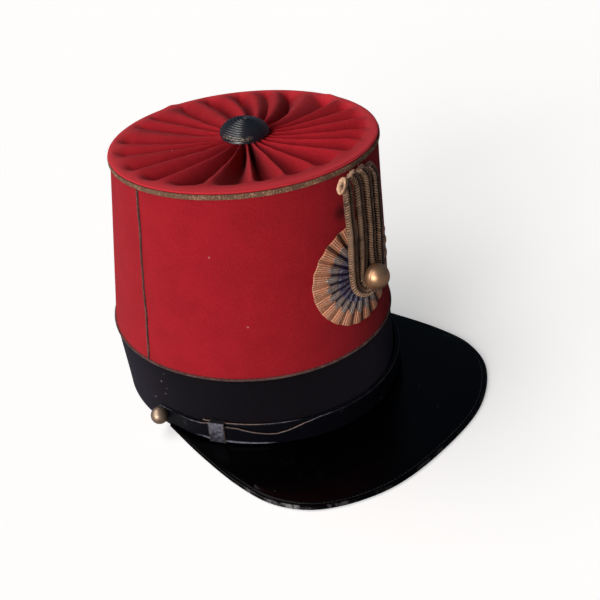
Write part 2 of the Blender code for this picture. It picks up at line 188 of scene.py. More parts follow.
# How the side pipings wander: by how many degrees, and how quickly with the height.
PIPING_WANDER = ((0.16, 95.0), (0.10, 230.0))

# The top braid: three strands, each an oval in section.
BRAID_STRANDS = 3
BRAID_STRAND_SHARE = 0.40  # half a strand's width, as a share of half the braid's
BRAID_HALF_DEPTH = 0.00036
BRAID_PROUD = 0.0006  # from the wall to the middle of a strand
BRAID_CROSSING = 0.00022  # how far a strand rises and dips where it crosses another
BRAID_STEPS = 8  # points along a strand for each of its waves

# The pleated top. The seam between the side and the top lies behind the upper edge of the braid.
SEAM_HEIGHT = BRAID_HIGH - 0.0002
RIM_ROLL = 0.0034  # how far in the cloth rolls over from the side to the top
RIM_BULGE = 0.0006  # how far the roll swells out past the braid
RIM_STEPS = 12  # points over the roll
RIM_BUMPS = ((171.0, 1.00), (87.0, 0.97))  # turn and reach of small bumps in the rim
RIM_BUMP_HEIGHT = 0.0011
RIM_BUMP_TURN = 3.0  # how many degrees a bump spreads round the rim
RIM_BUMP_REACH = 0.03  # how much reach it spreads across it
TOP_CLOTH = 0.0012  # thickness of the top
TOP_SHOULDER = 0.0005  # how far the rim slopes down on the side that faces SHOULDER_TURN
SHOULDER_TURN = -35.0
SHOULDER_FACING = (-0.10, 0.70)  # the cosines to SHOULDER_TURN over which the slope comes in
SHOULDER_REACH = (0.87, 0.99)
TOP_SAG = 0.0012  # how far the middle of the top lies below its rim
SAG_REACH = (0.97, 0.25)
TOP_WAVER = 0.0003
TOP_WAVES = 14.0
TOP_WAVER_REACH = (0.98, 0.85)
TOP_RINGS = 46  # rings of points inside the roll
TOP_RING_SPREAD = 0.88  # under 1, the rings lie closer together towards the middle
PLEAT_CENTRE = Vector((0.0025, -0.0016, 0.0))  # where the pleats meet, from the middle of the top
PLEAT_OUTER_REACH = 0.90
PLEAT_INNER_REACH = 0.35
PLEAT_MOUTH = 0.085  # the reach over which a pleat opens to its full depth
PLEAT_HUB = (0.08, 0.26)  # the reaches over which it comes out from under the button
PLEAT_PUFF = 0.0009  # how far the cloth between the valleys swells up
PUFF_MOUTH = 0.12
PUFF_HUB = (0.15, 0.60)
BOWL_POWER = 1.3  # the higher, the softer the ridges between bowls
FOLD_POWER = 0.9  # the lower, the sharper the valleys between folds
# Where the ridge stands between two valleys, as a share of the way, by turn: the folds lean over
# at the front.
PLEAT_LEAN = ((-85.0, 0.50), (-55.0, 0.68), (30.0, 0.70), (60.0, 0.50))
# The reach at which the pleats open, by turn: just inside the rim at the front, and nearly at it elsewhere.
PLEAT_OPENING = (
    (-120.0, 0.965),
    (-85.0, 0.945),
    (-60.0, 0.905),
    (-30.0, 0.890),
    (0.0, 0.900),
    (50.0, 0.945),
    (90.0, 0.965),
)
# How far a pleat is a puffed fold between sharp valleys, and not a round bowl between sharp ridges, by turn.
PLEAT_ROUNDNESS = ((-120.0, 1.0), (-80.0, 0.6), (-55.0, 0.0), (40.0, 0.0), (70.0, 0.7), (100.0, 1.0))
# The valley of each pleat: its turn at the outer and the inner reach, and its share of the full depth.
Pleat = namedtuple("Pleat", "outer inner depth")
PLEATS = (
    Pleat(-175.0, -173.0, 0.50),
    Pleat(-163.0, -156.5, 0.35),
    Pleat(-143.0, -127.5, 0.60),
    Pleat(-127.0, -117.0, 0.40),
    Pleat(-107.0, -106.0, 0.50),
    Pleat(-91.0, -82.0, 0.80),
    Pleat(-73.0, -64.0, 0.95),
    Pleat(-51.0, -49.0, 1.00),
    Pleat(-35.5, -36.0, 1.00),
    Pleat(-21.5, -21.5, 0.95),
    Pleat(-6.0, -10.5, 1.00),
    Pleat(15.0, 5.5, 0.80),
    Pleat(26.0, 19.0, 0.65),
    Pleat(39.0, 30.5, 0.95),
    Pleat(55.0, 50.5, 0.60),
    Pleat(70.0, 62.0, 0.70),
    Pleat(86.5, 73.0, 0.80),
    Pleat(109.5, 94.5, 0.80),
    Pleat(121.5, 112.0, 0.50),
    Pleat(135.5, 125.0, 0.80),
    Pleat(152.0, 140.5, 0.80),
    Pleat(166.5, 173.0, 0.50),
)
PLEAT_STEPS = 20  # points from one valley to the next

# The button of wound cord on the top.
TOP_BUTTON_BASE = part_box("top_button")[0][2]
TOP_BUTTON_CENTRE = middle_of("top_button") + Vector((-0.0005, 0.0004, 0.0))
TOP_BUTTON_RADIUS = 0.0152
TOP_BUTTON_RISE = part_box("top_button")[1][2] - TOP_BUTTON_BASE
TOP_CORD = 0.00098  # radius of the cord that it is wound from
TOP_CORD_TURNS = 10.5
TOP_CORD_START = math.radians(60.0)
TOP_CORD_SPREAD = 0.56  # under 1, the outer turns have a larger share of the points
TOP_CORD_EYE = 0.02  # where the cord starts, as a share of the way from the middle to the rim
TOP_CORD_STEPS = 760
DOME_SILL = 0.14  # height of the dome's rim, as a share of its middle's
DOME_LIFT = 0.0006  # how far both are lifted off the base
CORE_SHARE = 0.97  # radius of the core, as a share of the dome's
CORE_SINK = 0.0004  # how far the core lies beneath the dome
CORE_FOOT_SHARE = 0.95  # radius of the core's foot, as a share of the button's
CORE_FOOT_LIFT = 0.0003
CORE_ROWS = 12
CORE_SIDES = 48
GOLD_TURN = math.radians(-62.0)  # the side on which gold threads still show
TOP_BUTTON_LEAN = -4.5  # degrees that it leans to the side, as seen from LEAN_TURN
LEAN_TURN = -41.7

# The peak: half of its outline, from the temple to the middle of the front.
HEAD_Y = oval_at(0.0).centre_y
PeakPoint = namedtuple("PeakPoint", "x y")
PEAK_OUTLINE = (
    PeakPoint(0.0900, -0.0080),
    PeakPoint(0.0960, -0.0470),
    PeakPoint(0.0992, -0.0860),
    PeakPoint(0.0957, -0.1160),
    PeakPoint(0.0789, -0.1410),
    PeakPoint(0.0440, -0.1594),
    PeakPoint(0.0000, -0.1640),
)
PEAK_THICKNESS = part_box("peak")[1][2]
PEAK_TEMPLE_TURN = 85.0
PEAK_STEPS = 24  # points from one row of the outline to the next
PEAK_GAP = 0.0004  # from the band to the peak
PEAK_FACE_RISE = 0.0002  # how far the face lies above the solid's, and half of it at the seam
PEAK_SWELL = 0.0004  # how far the middle of the face swells up
# Shares of the way from the band to the edge, and then insets from the edge, of the face's rows.
PEAK_FACE_SHARES = (0.0, 0.03, 0.1, 0.2, 0.3, 0.4, 0.5, 0.6, 0.7, 0.8, 0.87)
PEAK_SEAM_INSETS = (0.0058, 0.0050, 0.0044, 0.0040, 0.0037, 0.0034, 0.0031, 0.0028, 0.0024, 0.0019)
PEAK_LIP_STEPS = 8
# How pale the lip is painted, from the right temple at -1 to the left one at 1: bare leather, and at its
# brightest a painted highlight.
LIP_BARE_AND_HIGHLIGHT = (
    (-0.75, 0.0),
    (-0.60, 0.3),
    (-0.53, 0.5),
    (-0.48, 1.0),
    (-0.41, 1.0),
    (-0.37, 0.2),
    (-0.20, 0.05),
)
SEAM_INSET = 0.0034  # from the peak's edge to the line of stitches
SEAM_DEPTH = 0.0005
SEAM_WIDTH = 0.00045
SEAM_ENDS = (0.03, 0.97)  # where the stitches start and end, as shares of the edge's length
STITCH_SHARE = 0.42  # half a stitch's length, as a share of the way from one to the next
STITCH_HALF_WIDTH = 0.00024
STITCH_HALF_RISE = 0.00022
STITCH_LIFT = 0.00018  # from the bottom of the groove to the middle of a stitch

# The chin strap.
STRAP_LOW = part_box("chin_strap_left")[0][2]
STRAP_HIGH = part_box("chin_strap_left")[1][2]
STRAP_LEATHER = 0.0013
STRAP_UNDER = 0.0014  # from the band to the back of the half beneath
STRAP_OVER = STRAP_UNDER + 0.0017
STRAP_CORNER = 0.0004
STRAP_TIP = 0.06  # the least width at a round end, as a share
STRAP_WAIST = 0.0011  # how much narrower the outer half is at each edge, between button and keeper
WAIST_ONSET = (2.0, 6.0)  # degrees from the keeper over which it narrows
CLIMB_FROM_BUTTON = 4.5  # degrees from the button at which the outer half starts to climb
CLIMB_TO_KEEPER = 9.4  # degrees from the keeper at which it lies on the inner half
DIP_LEAN = 0.12  # how far its upper edge leans out where it sags, as a share of the sag
DIP_BELOW = 0.08  # how far its lower edge sags, as a share of what the upper one does
KEEPER_LEATHER = 0.0007
KEEPER_CORNER = 0.0012
KEEPER_ROOM = 0.0002  # above and below the strap
KEEPER_STRETCH = (0.12, 0.95)  # the part of its solid's width that a keeper covers
KEEPER_PINCH = 0.0002  # how far its face dips between its edges
KEEPER_SLANT = 40.0  # degrees of turn for each metre of height
# How far the outer half's upper edge sags below the inner half's, by turn.
STRAP_DIP = (
    (-64.0, 0.0004),
    (-59.5, 0.0016),
    (-54.7, 0.0021),
    (-49.0, 0.0046),
    (-44.5, 0.0058),
    (-40.5, 0.0062),
    (-36.0, 0.0047),
    (-30.0, 0.0018),
    (-24.0, 0.0002),
)

# How bare the halves' upper edges are, and how pale the outer half's lower edge is, by turn.
UNDER_BARE = ((-66.0, 1.0), (-48.0, 1.0), (-40.0, 0.5), (-30.0, 0.15))
OVER_BARE = (
    (-88.0, 0.4),
    (-80.0, 0.1),
    (-72.0, 0.5),
    (-66.0, 0.8),
    (-50.0, 0.9),
    (-30.0, 0.8),
    (-18.0, 0.2),
)
OVER_LOWER_PALE = ((-76.0, 0.0), (-66.0, 0.8), (-45.0, 0.8), (-38.0, 0.0))

# The cockade, and the loops of cord that cross it.
COCKADE_PLEATS = 24
COCKADE_STEPS = 14  # points round the cockade for each pleat
COCKADE_LEAN = 0.55  # how far a pleat leans over to one side
COCKADE_HEIGHT = 0.1055
COCKADE_ASIDE = 0.0030  # towards the wearer's left
COCKADE_RIBBON = 0.0005
COCKADE_TUCK = 0.0006  # how far the inner edge of a ring is tucked in
RIBS_TO_A_PLEAT = 6.0
# Height of the pleats by their distance from the middle.
COCKADE_RELIEF = (
    (0.0030, 0.0003),
    (0.0120, 0.0008),
    (0.0215, 0.0013),
    (0.0250, 0.0014),
    (0.0343, 0.0010),
)
# Half the distance between a loop's strands, the radius of its eye, and how much lower it starts.
CordLoop = namedtuple("CordLoop", "node spread eye trim")
# A strand from its top down: its height over the eye, how far it stands off the wall, and how far
# it lies to the wearer's right.
Station = namedtuple("Station", "up proud aside")
LooseEnd = namedtuple("LooseEnd", "across up proud")
CORD_LOOPS = (
    CordLoop("cord_loop_outer", 0.0109, 0.0110, 0.0015),
    CordLoop("cord_loop_inner", 0.0036, 0.0050, 0.0000),
)
# Painted light and shade on the ropes: how bright the thread is painted on the left and the right rope of
# each loop's left strand, and then of its right one, lit where a rope faces the window and shaded where it
# lies in another's shadow.
CORD_ROPE_LIGHT = {
    "cord_loop_outer": ((1.15, 0.45), (1.50, 0.60)),
    "cord_loop_inner": ((1.50, 0.60), (0.95, 0.55)),
}
CORD_STRAND = (
    Station(0.0655, 0.0043, 0.0026),
    Station(0.0630, 0.0060, 0.0012),
    Station(0.0590, 0.0071, 0.0003),
    Station(0.0500, 0.0074, 0.0),
    Station(0.0410, 0.0074, 0.0),
    Station(0.0320, 0.0074, 0.0),
    Station(0.0230, 0.0074, 0.0),
    Station(0.0140, 0.0074, 0.0),
    Station(0.0070, 0.0074, 0.0),
)
# The outer loop's right end was cut and has curled out from the wall.
CORD_LOOSE_END = (
    LooseEnd(-0.0185, 0.0655, 0.0122),
    LooseEnd(-0.0160, 0.0640, 0.0105),
    LooseEnd(-0.0132, 0.0618, 0.0088),
    LooseEnd(-0.0115, 0.0580, 0.0077),
)
LOOSE_STATIONS = 3  # stations of the strand whose place the loose end takes
EYE_ACROSS = 0.0005  # the middle of the eye, from the middle of the cockade
EYE_UP = -0.0010
CORD_EYE_BLEND = 0.0150  # height over which the strands draw together into the eye
CORD_EYE_POINTS = 10
CORD_HALF_WIDTH = 0.0030
CORD_HALF_DEPTH = 0.0021
CORD_WANDER = 0.0003  # how far a strand strays sideways
CORD_WANDER_WAVES = 150.0  # how quickly, with the height
CORD_WANDER_SHIFT = 900.0  # and how differently in the two loops
CORD_THREAD = 0.0016  # from one thread to the next along the cord
CORD_THREAD_STEPS = 8  # points along the cord for each thread
CORD_THREAD_LEAN = 1.3  # how many threads the wrap leans over across a rope
CORD_THREAD_RELIEF = 0.16  # depth between two threads, as a share of the cord's size
CORD_GROOVE = 0.45  # depth of the groove between the two ropes, as a share
CORD_GROOVE_WIDTH = 0.22
CORD_SIDES = 28
CUT_END_FLARE = 0.50  # how much wider the cut end is, as a share
CUT_END_STRETCH = (0.0090, 0.0020)  # from the end, where the flare begins and is full
CUT_END_HOLLOW = 0.0022
HAIRS = 7  # fine threads that stand up from the cut end
HAIR_RADIUS = 0.00010
HAIR_LENGTH = (0.0016, 0.0012)  # the shortest, and how much longer the others may be
HAIR_RING = (0.0022, 0.0030)  # out and across from the cord's middle to where they stand
HAIR_ROOT = 0.0004  # how deep in the cord they start
HAIR_LEAN = (0.0007, 0.0009)  # out and across

# The ball buttons. A ball's middle lies a share of its radius above the flat at its foot.
SHANK_RADIUS = 0.0010
BALL_STEPS = 48
BALL_SEAM_DEPTH = 0.00012
BALL_SEAM_ANGLE = 1.45  # from the ball's outermost point, in radians
BALL_SEAM_WIDTH = 0.035
COCKADE_BUTTON_RADIUS = 0.0078
COCKADE_BUTTON_MIDDLE = 0.39
COCKADE_BUTTON_STANDOFF = 0.0027  # from the middle of the cords to the button's foot
COCKADE_BUTTON_TURN = -0.35  # degrees from its solid
SIDE_BUTTON_RADIUS = 0.0058
SIDE_BUTTON_MIDDLE = 0.60
SIDE_BUTTON_STANDOFF = 0.0001  # from the strap to the button's foot

# ----------------------------------------------------------------------------
# Settings
# ----------------------------------------------------------------------------


def colour_setting(name, description, default):
    return FloatVectorProperty(
        name=name, description=description, subtype="COLOR", default=default, min=0, max=1
    )


def length_setting(name, description, default):
    return FloatProperty(
        name=name, description=description, default=default, min=0.0, unit="LENGTH", precision=5
    )


def strength_setting(name, description, default):
    return FloatProperty(name=name, description=description, default=default, min=0.0)


class KepiCloth(bpy.types.PropertyGroup):
    """Cloth of the crown and the band."""

    crown: colour_setting("Crown", "Colour of the crown's cloth", (0.450, 0.0135, 0.0235))
    band: colour_setting("Band", "Colour of the band's cloth", (0.0040, 0.0032, 0.0050))
    pleat_depth: length_setting("Pleat depth", "Depth of the deepest pleat of the top", 0.0098)
    waviness: length_setting("Waviness", "How far the cloth wanders from a true oval", 0.00025)


class KepiTrim(bpy.types.PropertyGroup):
    """Braid, piping, cord and buttons."""

    gilt: colour_setting("Gilt thread", "Colour of the metal thread of the top braid", (0.96, 0.55, 0.34))
    piping: colour_setting("Piping", "Colour of the twisted piping cord", (0.46, 0.25, 0.22))
    bullion: colour_setting("Bullion", "Colour of the loops of cord over the cockade", (1.0, 0.60, 0.38))
    silk: colour_setting("Silk cord", "Colour of the button of wound cord", (0.0055, 0.0050, 0.0085))
    brass: colour_setting("Brass", "Colour of the metal buttons", (0.58, 0.32, 0.18))
    plaits: IntProperty(name="Plaits", description="Crossings of the top braid", default=122, min=8)
    piping_radius: length_setting("Piping radius", "Radius of the piping cord", 0.00080)


class KepiLeather(bpy.types.PropertyGroup):
    """Leather of the peak and the chin strap."""

    patent: colour_setting("Patent leather", "Colour of the peak", (0.0006, 0.0006, 0.0010))
    strap: colour_setting("Strap", "Colour of the strap's lacquered face", (0.0030, 0.0032, 0.0055))
    worn: colour_setting("Worn leather", "Colour where the lacquer is gone", (0.135, 0.132, 0.170))
    raw: colour_setting("Raw leather", "Colour of the cut edges", (0.42, 0.27, 0.21))
    stitch: length_setting("Stitch", "Length of a stitch of the peak's seam", 0.0026)


class KepiRibbon(bpy.types.PropertyGroup):
    """Ribbon of the cockade."""

    copper: colour_setting("Outer ring", "Colour of the copper ribbon", (1.0, 0.37, 0.20))
    silver: colour_setting("Middle ring", "Colour of the silver-grey ribbon", (0.46, 0.31, 0.27))
    blue: colour_setting("Centre", "Colour of the blue ribbon", (0.036, 0.022, 0.160))


class KepiStage(bpy.types.PropertyGroup):
    """Floor and lights."""

    floor: colour_setting("Floor", "Colour of the floor", (0.93, 0.93, 0.93))
    glow: strength_setting("Floor glow", "How much the floor shines by itself", 0.41)
    key: strength_setting("Window", "Strength of the light from the side", 2.3)
    top: strength_setting("Skylight", "Strength of the light from above", 1.25)
    back: strength_setting("Back window", "Strength of the light from behind", 0.65)
    fill: strength_setting("Fill", "Strength of the light from all round", 0.03)


# ----------------------------------------------------------------------------
# Shaping
# ----------------------------------------------------------------------------


def bent_sheet(columns, rows, place, tone=None):
    """A grid of faces bent to place(u, v), where u and v run from 0 to 1. Edges that meet are
    joined. The UV map keeps u and v, and the tone attribute holds tone(u, v), such as how deep a
    point lies in a groove."""
    shape = bmesh.new()
    uv_map = shape.loops.layers.uv.new("weave")
    bmesh.ops.create_grid(shape, x_segments=columns, y_segments=rows, size=1.0)
    tones = shape.verts.layers.float.new("tone") if tone else None
    for face in shape.faces:
        for corner in face.loops:
            flat = corner.vert.co
            corner[uv_map].uv = ((flat.x + 1.0) / 2, (flat.y + 1.0) / 2)
    for vertex in shape.verts:
        u = (vertex.co.x + 1.0) / 2
        v = (vertex.co.y + 1.0) / 2
        if tone:
            vertex[tones] = tone(u, v)
        vertex.co = place(u, v)
    bmesh.ops.remove_doubles(shape, verts=shape.verts, dist=1e-6)
    bmesh.ops.dissolve_degenerate(shape, edges=shape.edges, dist=1e-7)
    return shape


def turned_shape(profile, steps):
    """A profile of (radius, height) spun about Z. The profile runs from the top to the bottom."""
    shape = bmesh.new()
    points = [shape.verts.new((radius, 0.0, height)) for radius, height in profile]
    edges = [shape.edges.new(pair) for pair in zip(points, points[1:])]
    bmesh.ops.spin(
        shape,
        geom=points + edges,
        cent=(0.0, 0.0, 0.0),
        axis=(0.0, 0.0, 1.0),
        angle=math.tau,
        steps=steps,
        use_merge=True,
    )
    bmesh.ops.remove_doubles(shape, verts=shape.verts, dist=1e-6)
    bmesh.ops.recalc_face_normals(shape, faces=shape.faces)
    return shape


def stand_on_wall(shape, turn, height, proud):
    """Turns a shape's Z outwards from the wall and moves it there."""
    facing = outward(turn, height).to_track_quat("Z", "Y").to_matrix().to_4x4()
    seat = Matrix.Translation(on_wall(turn, height, proud))
    bmesh.ops.transform(shape, matrix=seat @ facing, verts=shape.verts)


def thicken(piece, thickness):
    """Gives a sheet its thickness, inwards from its face."""
    wall = piece.modifiers.new("thickness", "SOLIDIFY")
    wall.thickness = thickness
    wall.offset = -1.0


def join_shapes(*shapes):
    """One bmesh from several. Each later one's faces get the next material slot."""
    whole = bpy.data.meshes.new("joining")
    joined = shapes[0]
    for slot_number, shape in enumerate(shapes[1:], start=1):
        for face in shape.faces:
            face.material_index = slot_number
        shape.to_mesh(whole)
        shape.free()
        joined.from_mesh(whole)
    bpy.data.meshes.remove(whole)
    return joined


def add_piece(name, shape, finishes, nodes, slot, sharp=60.0):
    """Makes a shape a piece that rides on the cap and stands for its solids."""
    mesh = bpy.data.meshes.new(name)
    shape.to_mesh(mesh)
    shape.free()
    mesh.shade_smooth()
    mesh.set_sharp_from_angle(angle=math.radians(sharp))
    piece = bpy.data.objects.new(name, mesh)
    bpy.context.scene.collection.objects.link(piece)
    for finish in finishes:
        mesh.materials.append(finish)
    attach(piece, "root")
    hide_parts(*nodes)
    return piece


def frame_along(path, share, step=0.0005):
    """The point, its outward direction and the direction across the path. path(share) gives a
    point and an outward direction."""
    point, out = path(share)
    before = path(share - step)[0]
    after = path(share + step)[0]
    along = (after - before).normalized()
    return point, out, along.cross(out).normalized()


def cord_shape(path, rings, sides, section, tone=None, closed=False, hollow=0.0):
    """A cord along a path. section(u, angle) gives how far a point lies out and across from the
    cord's middle. The last end is hollowed by a share of the length."""

    def place(u, v):
        point, out, across = frame_along(path, u)
        if not closed and u < 1e-6:
            return point
        if not closed and u > 1.0 - 1e-6:
            return path(1.0 - hollow)[0]
        rise, side = section(u, math.tau * v)
        return point + out * rise + across * side

    shape = bent_sheet(rings, sides, place, tone)
    bmesh.ops.recalc_face_normals(shape, faces=shape.faces)
    return shape


def bar_point(v, half_rise, half_side, corner):
    """A point of a flat bar's section with round corners, from the middle of its face at 0 round
    to 1. The first part of a quarter goes along the face, and the rest round the corner and down
    the edge."""
    quarter, part = divmod(4.0 * v, 1.0)
    quarter = int(quarter) % 4
    if quarter % 2:
        part = 1.0 - part
    angle = math.pi / 2 * clamp((part - 0.4) / 0.4)
    rise = (half_rise - corner) * min(1.0, (1.0 - part) / 0.2) + corner * math.cos(angle)
    side = (half_side - corner) * min(1.0, part / 0.4) + corner * math.sin(angle)
    return rise * (1 if quarter in (0, 3) else -1), side * (1 if quarter < 2 else -1)


# ----------------------------------------------------------------------------
# Materials
# ----------------------------------------------------------------------------


class Wiring:
    """Adds nodes to a node tree. A value may be a number, a colour, a vector or another node's output."""

    def __init__(self, tree):
        self.tree = tree

    def put(self, socket, value):
        if isinstance(value, bpy.types.NodeSocket):
            self.tree.links.new(value, socket)
        elif socket.type == "RGBA" and len(value) == 3:
            socket.default_value = (*value, 1.0)
        else:
            socket.default_value = value

    def add(self, kind, inputs, **settings):
        made = self.tree.nodes.new(kind)
        for name, value in settings.items():
            setattr(made, name, value)
        for name, value in inputs.items():
            self.put(made.inputs[name], value)
        return made

    def math(self, operation, first, second=0.0):
        return self.add("ShaderNodeMath", {0: first, 1: second}, operation=operation).outputs[0]

    def noise(self, vector, scale, detail=4.0, roughness=0.55):
        inputs = {"Vector": vector, "Scale": scale, "Detail": detail, "Roughness": roughness}
        return self.add("ShaderNodeTexNoise", inputs).outputs["Fac"]

    def stretch(self, vector, scale, place=(0.0, 0.0, 0.0)):
        return self.add("ShaderNodeMapping", {"Vector": vector, "Scale": scale, "Location": place}).outputs[0]

    def spread(self, value, low, high, to_low=0.0, to_high=1.0):
        """Stretches the values from low to high over to_low to to_high, with soft ends."""
        inputs = {"Value": value, "From Min": low, "From Max": high, "To Min": to_low, "To Max": to_high}
        return self.add("ShaderNodeMapRange", inputs, interpolation_type="SMOOTHSTEP").outputs[0]

    def blend(self, share, first, second, how="MIX"):
        inputs = {0: share, 6: first, 7: second}
        return self.add("ShaderNodeMix", inputs, data_type="RGBA", blend_type=how).outputs[2]

    def layer(self, mask, strength, under, over):
        """Lays a colour over another through a mask, at a share of its strength."""
        return self.blend(self.math("MULTIPLY", mask, strength), under, over)

    def group(self, name, inputs):
        return self.add("ShaderNodeGroup", inputs, node_tree=bpy.data.node_groups[name])


class Finish(Wiring):
    """A material: its Principled shader and the nodes before it."""

    def __init__(self, name, **constants):
        self.material = bpy.data.materials.new(name)
        self.material.use_nodes = True
        super().__init__(self.material.node_tree)
        self.shader = self.tree.nodes["Principled BSDF"]
        for socket, value in constants.items():
            self.put(self.shader.inputs[socket.replace("_", " ").title().replace("Ior", "IOR")], value)

    def place(self):
        return self.add("ShaderNodeTexCoord", {}).outputs["Object"]

    def weave(self):
        return self.add("ShaderNodeUVMap", {}, uv_map="weave").outputs[0]

    def tone(self):
        return self.add("ShaderNodeAttribute", {}, attribute_name="tone").outputs["Fac"]

    def colour(self, value):
        self.put(self.shader.inputs["Base Color"], value)

    def rough(self, value):
        self.put(self.shader.inputs["Roughness"], value)

    def metal(self, value):
        self.put(self.shader.inputs["Metallic"], value)

    def relief(self, height, distance, strength=1.0):
        inputs = {"Height": height, "Distance": distance, "Strength": strength}
        self.put(self.shader.inputs["Normal"], self.add("ShaderNodeBump", inputs).outputs[0])


def new_group(name, inputs, outputs):
    """A shader node group: its wiring, its inputs' sockets and its output node."""
    tree = bpy.data.node_groups.new(name, "ShaderNodeTree")
    for label, kind, default in inputs:
        socket = tree.interface.new_socket(label, in_out="INPUT", socket_type="NodeSocket" + kind)
        if default is not None:
            socket.default_value = default
    for label in outputs:
        tree.interface.new_socket(label, in_out="OUTPUT", socket_type="NodeSocketFloat")
    wiring = Wiring(tree)
    return wiring, wiring.add("NodeGroupInput", {}).outputs, wiring.add("NodeGroupOutput", {})


def wool_nap_group():
    """The short brushed fibres of felted wool, and the soft blotches that handling leaves in it."""
    inputs = (("Vector", "Vector", None), ("Fibres", "Float", 2400.0), ("Blotches", "Float", 55.0))
    wiring, given, out = new_group("Wool Nap", inputs, ("Fibres", "Grain", "Blotches", "Height"))
    brushed = wiring.stretch(given["Vector"], (1.0, 1.0, 0.42))
    fine = wiring.noise(brushed, given["Fibres"], 6.0, 0.7)
    pile = wiring.noise(given["Vector"], wiring.math("MULTIPLY", given["Fibres"], 0.45), 3.0, 0.6)
    wiring.put(out.inputs["Fibres"], wiring.spread(fine, 0.28, 0.72))
    blotches = wiring.noise(given["Vector"], given["Blotches"], 5.0)
    wiring.put(out.inputs["Blotches"], wiring.spread(blotches, 0.3, 0.7))
    wiring.put(out.inputs["Grain"], wiring.spread(pile, 0.36, 0.64))
    wiring.put(out.inputs["Height"], wiring.math("ADD", fine, pile))


def lint_group():
    """Specks of dust and lint, a few of each hundred cells."""
    inputs = (("Vector", "Vector", None), ("Scale", "Float", 260.0), ("Share", "Float", 0.04))
    wiring, given, out = new_group("Lint", inputs, ("Mask",))
    cells = wiring.add("ShaderNodeTexVoronoi", {"Vector": given["Vector"], "Scale": given["Scale"]})
    chance = wiring.add("ShaderNodeSeparateColor", {0: cells.outputs["Color"]}).outputs[0]
    chosen = wiring.math("LESS_THAN", chance, given["Share"])
    speck = wiring.spread(cells.outputs["Distance"], 0.10, 0.20, 1.0, 0.0)
    wiring.put(out.inputs["Mask"], wiring.math("MULTIPLY", chosen, speck))


def wear_group():
    """Patches where a finish is rubbed away: more of them as the amount goes from 0 to 1."""
    inputs = (("Vector", "Vector", None), ("Scale", "Float", 120.0), ("Amount", "Float", 0.3))
    wiring, given, out = new_group("Wear", inputs, ("Mask",))
    patches = wiring.noise(given["Vector"], given["Scale"], 9.0, 0.68)
    edge = wiring.math("SUBTRACT", 0.78, wiring.math("MULTIPLY", given["Amount"], 0.5))
    high = wiring.math("ADD", edge, 0.10)
    wiring.put(out.inputs["Mask"], wiring.spread(patches, edge, high))


def thread_wrap_group():
    """Threads laid side by side over a cord or ribbon, from its UV map: how many there are along
    it, and how far they lean across it."""
    inputs = (("Vector", "Vector", None), ("Threads", "Float", 100.0), ("Lean", "Float", 1.0))
    wiring, given, out = new_group("Thread Wrap", inputs, ("Height", "Glint"))
    axes = wiring.add("ShaderNodeSeparateXYZ", {0: given["Vector"]}).outputs
    along = wiring.math("MULTIPLY", axes[0], given["Threads"])
    across = wiring.math("MULTIPLY", axes[1], given["Lean"])
    turn = wiring.math("MULTIPLY", wiring.math("FRACT", wiring.math("ADD", along, across)), math.pi)
    ridge = wiring.math("SINE", turn)
    wiring.put(out.inputs["Height"], ridge)
    wiring.put(out.inputs["Glint"], wiring.math("POWER", ridge, 6.0))


def tarnish_group():
    """The brown bloom on old metal and metal thread: broad clouds with finer spots in them."""
    inputs = (("Vector", "Vector", None), ("Scale", "Float", 60.0), ("Amount", "Float", 0.5))
    wiring, given, out = new_group("Tarnish", inputs, ("Mask",))
    clouds = wiring.noise(given["Vector"], given["Scale"], 3.0, 0.5)
    spots = wiring.noise(given["Vector"], wiring.math("MULTIPLY", given["Scale"], 9.0), 6.0, 0.7)
    both = wiring.math("ADD", wiring.math("MULTIPLY", clouds, 0.65), wiring.math("MULTIPLY", spots, 0.35))
    edge = wiring.math("SUBTRACT", 0.70, wiring.math("MULTIPLY", given["Amount"], 0.4))
    high = wiring.math("ADD", edge, 0.20)
    wiring.put(out.inputs["Mask"], wiring.spread(both, edge, high))


def make_groups():
    wool_nap_group()
    lint_group()
    wear_group()
    thread_wrap_group()
    tarnish_group()


def shade(colour, factor):
    return tuple(channel * factor for channel in colour)


def mix_colours(first, second, share):
    return tuple(mix(a, b, share) for a, b in zip(first, second))


def cloth_finish(name, colour, rub_and_highlight, lint_colour, lint_share, dark_spots=(), sheen=0.16, grain=0.25):
    """Felted wool: a fine nap, blotches, lint, and a soft sheen where the fibres catch the light.
    Its tone is 1 on the top's rolled rim, which is painted paler: rubbed cloth and a painted highlight. Below
    0 it is painted shade, deepest in the folds. A dark spot is its middle, its radius and its strength."""
    cloth = Finish(
        name, sheen_roughness=0.5, sheen_weight=sheen, sheen_tint=lint_colour, specular_ior_level=0.08
    )
    place = cloth.place()
    nap = cloth.group("Wool Nap", {"Vector": place}).outputs
    tint = cloth.blend(nap["Blotches"], shade(colour, 0.93), shade(colour, 1.06))
    tint = cloth.blend(cloth.spread(nap["Fibres"], 0.0, 1.0, 0.0, 0.32), tint, shade(colour, 0.55))
    tint = cloth.blend(cloth.spread(nap["Grain"], 0.0, 1.0, 0.0, grain), tint, shade(colour, 0.35))
    lint = cloth.group("Lint", {"Vector": place, "Share": lint_share}).outputs["Mask"]
    tint = cloth.layer(lint, 0.5, tint, lint_colour)
    # Painted shade where the tone is below 0, in the top's folds.
    tint = cloth.blend(cloth.spread(cloth.tone(), -1.0, 0.0, 0.65, 0.0), tint, shade(colour, 0.25))
    # Rubbed cloth and a painted highlight where the tone is 1, on the top's rolled rim.
    tint = cloth.blend(cloth.tone(), tint, rub_and_highlight)
    # Each dark spot darkens the cloth towards its middle.
    for middle, radius, strength in dark_spots:
        offset = cloth.add("ShaderNodeVectorMath", {0: place, 1: middle}, operation="DISTANCE")
        spotted = cloth.spread(offset.outputs["Value"], 0.0, radius, strength, 0.0)
        tint = cloth.blend(spotted, tint, shade(colour, 0.10))
    cloth.colour(tint)
    cloth.rough(cloth.spread(nap["Fibres"], 0.0, 1.0, 0.85, 1.0))
    cloth.relief(nap["Height"], 0.0004, 0.45)
    return cloth.material


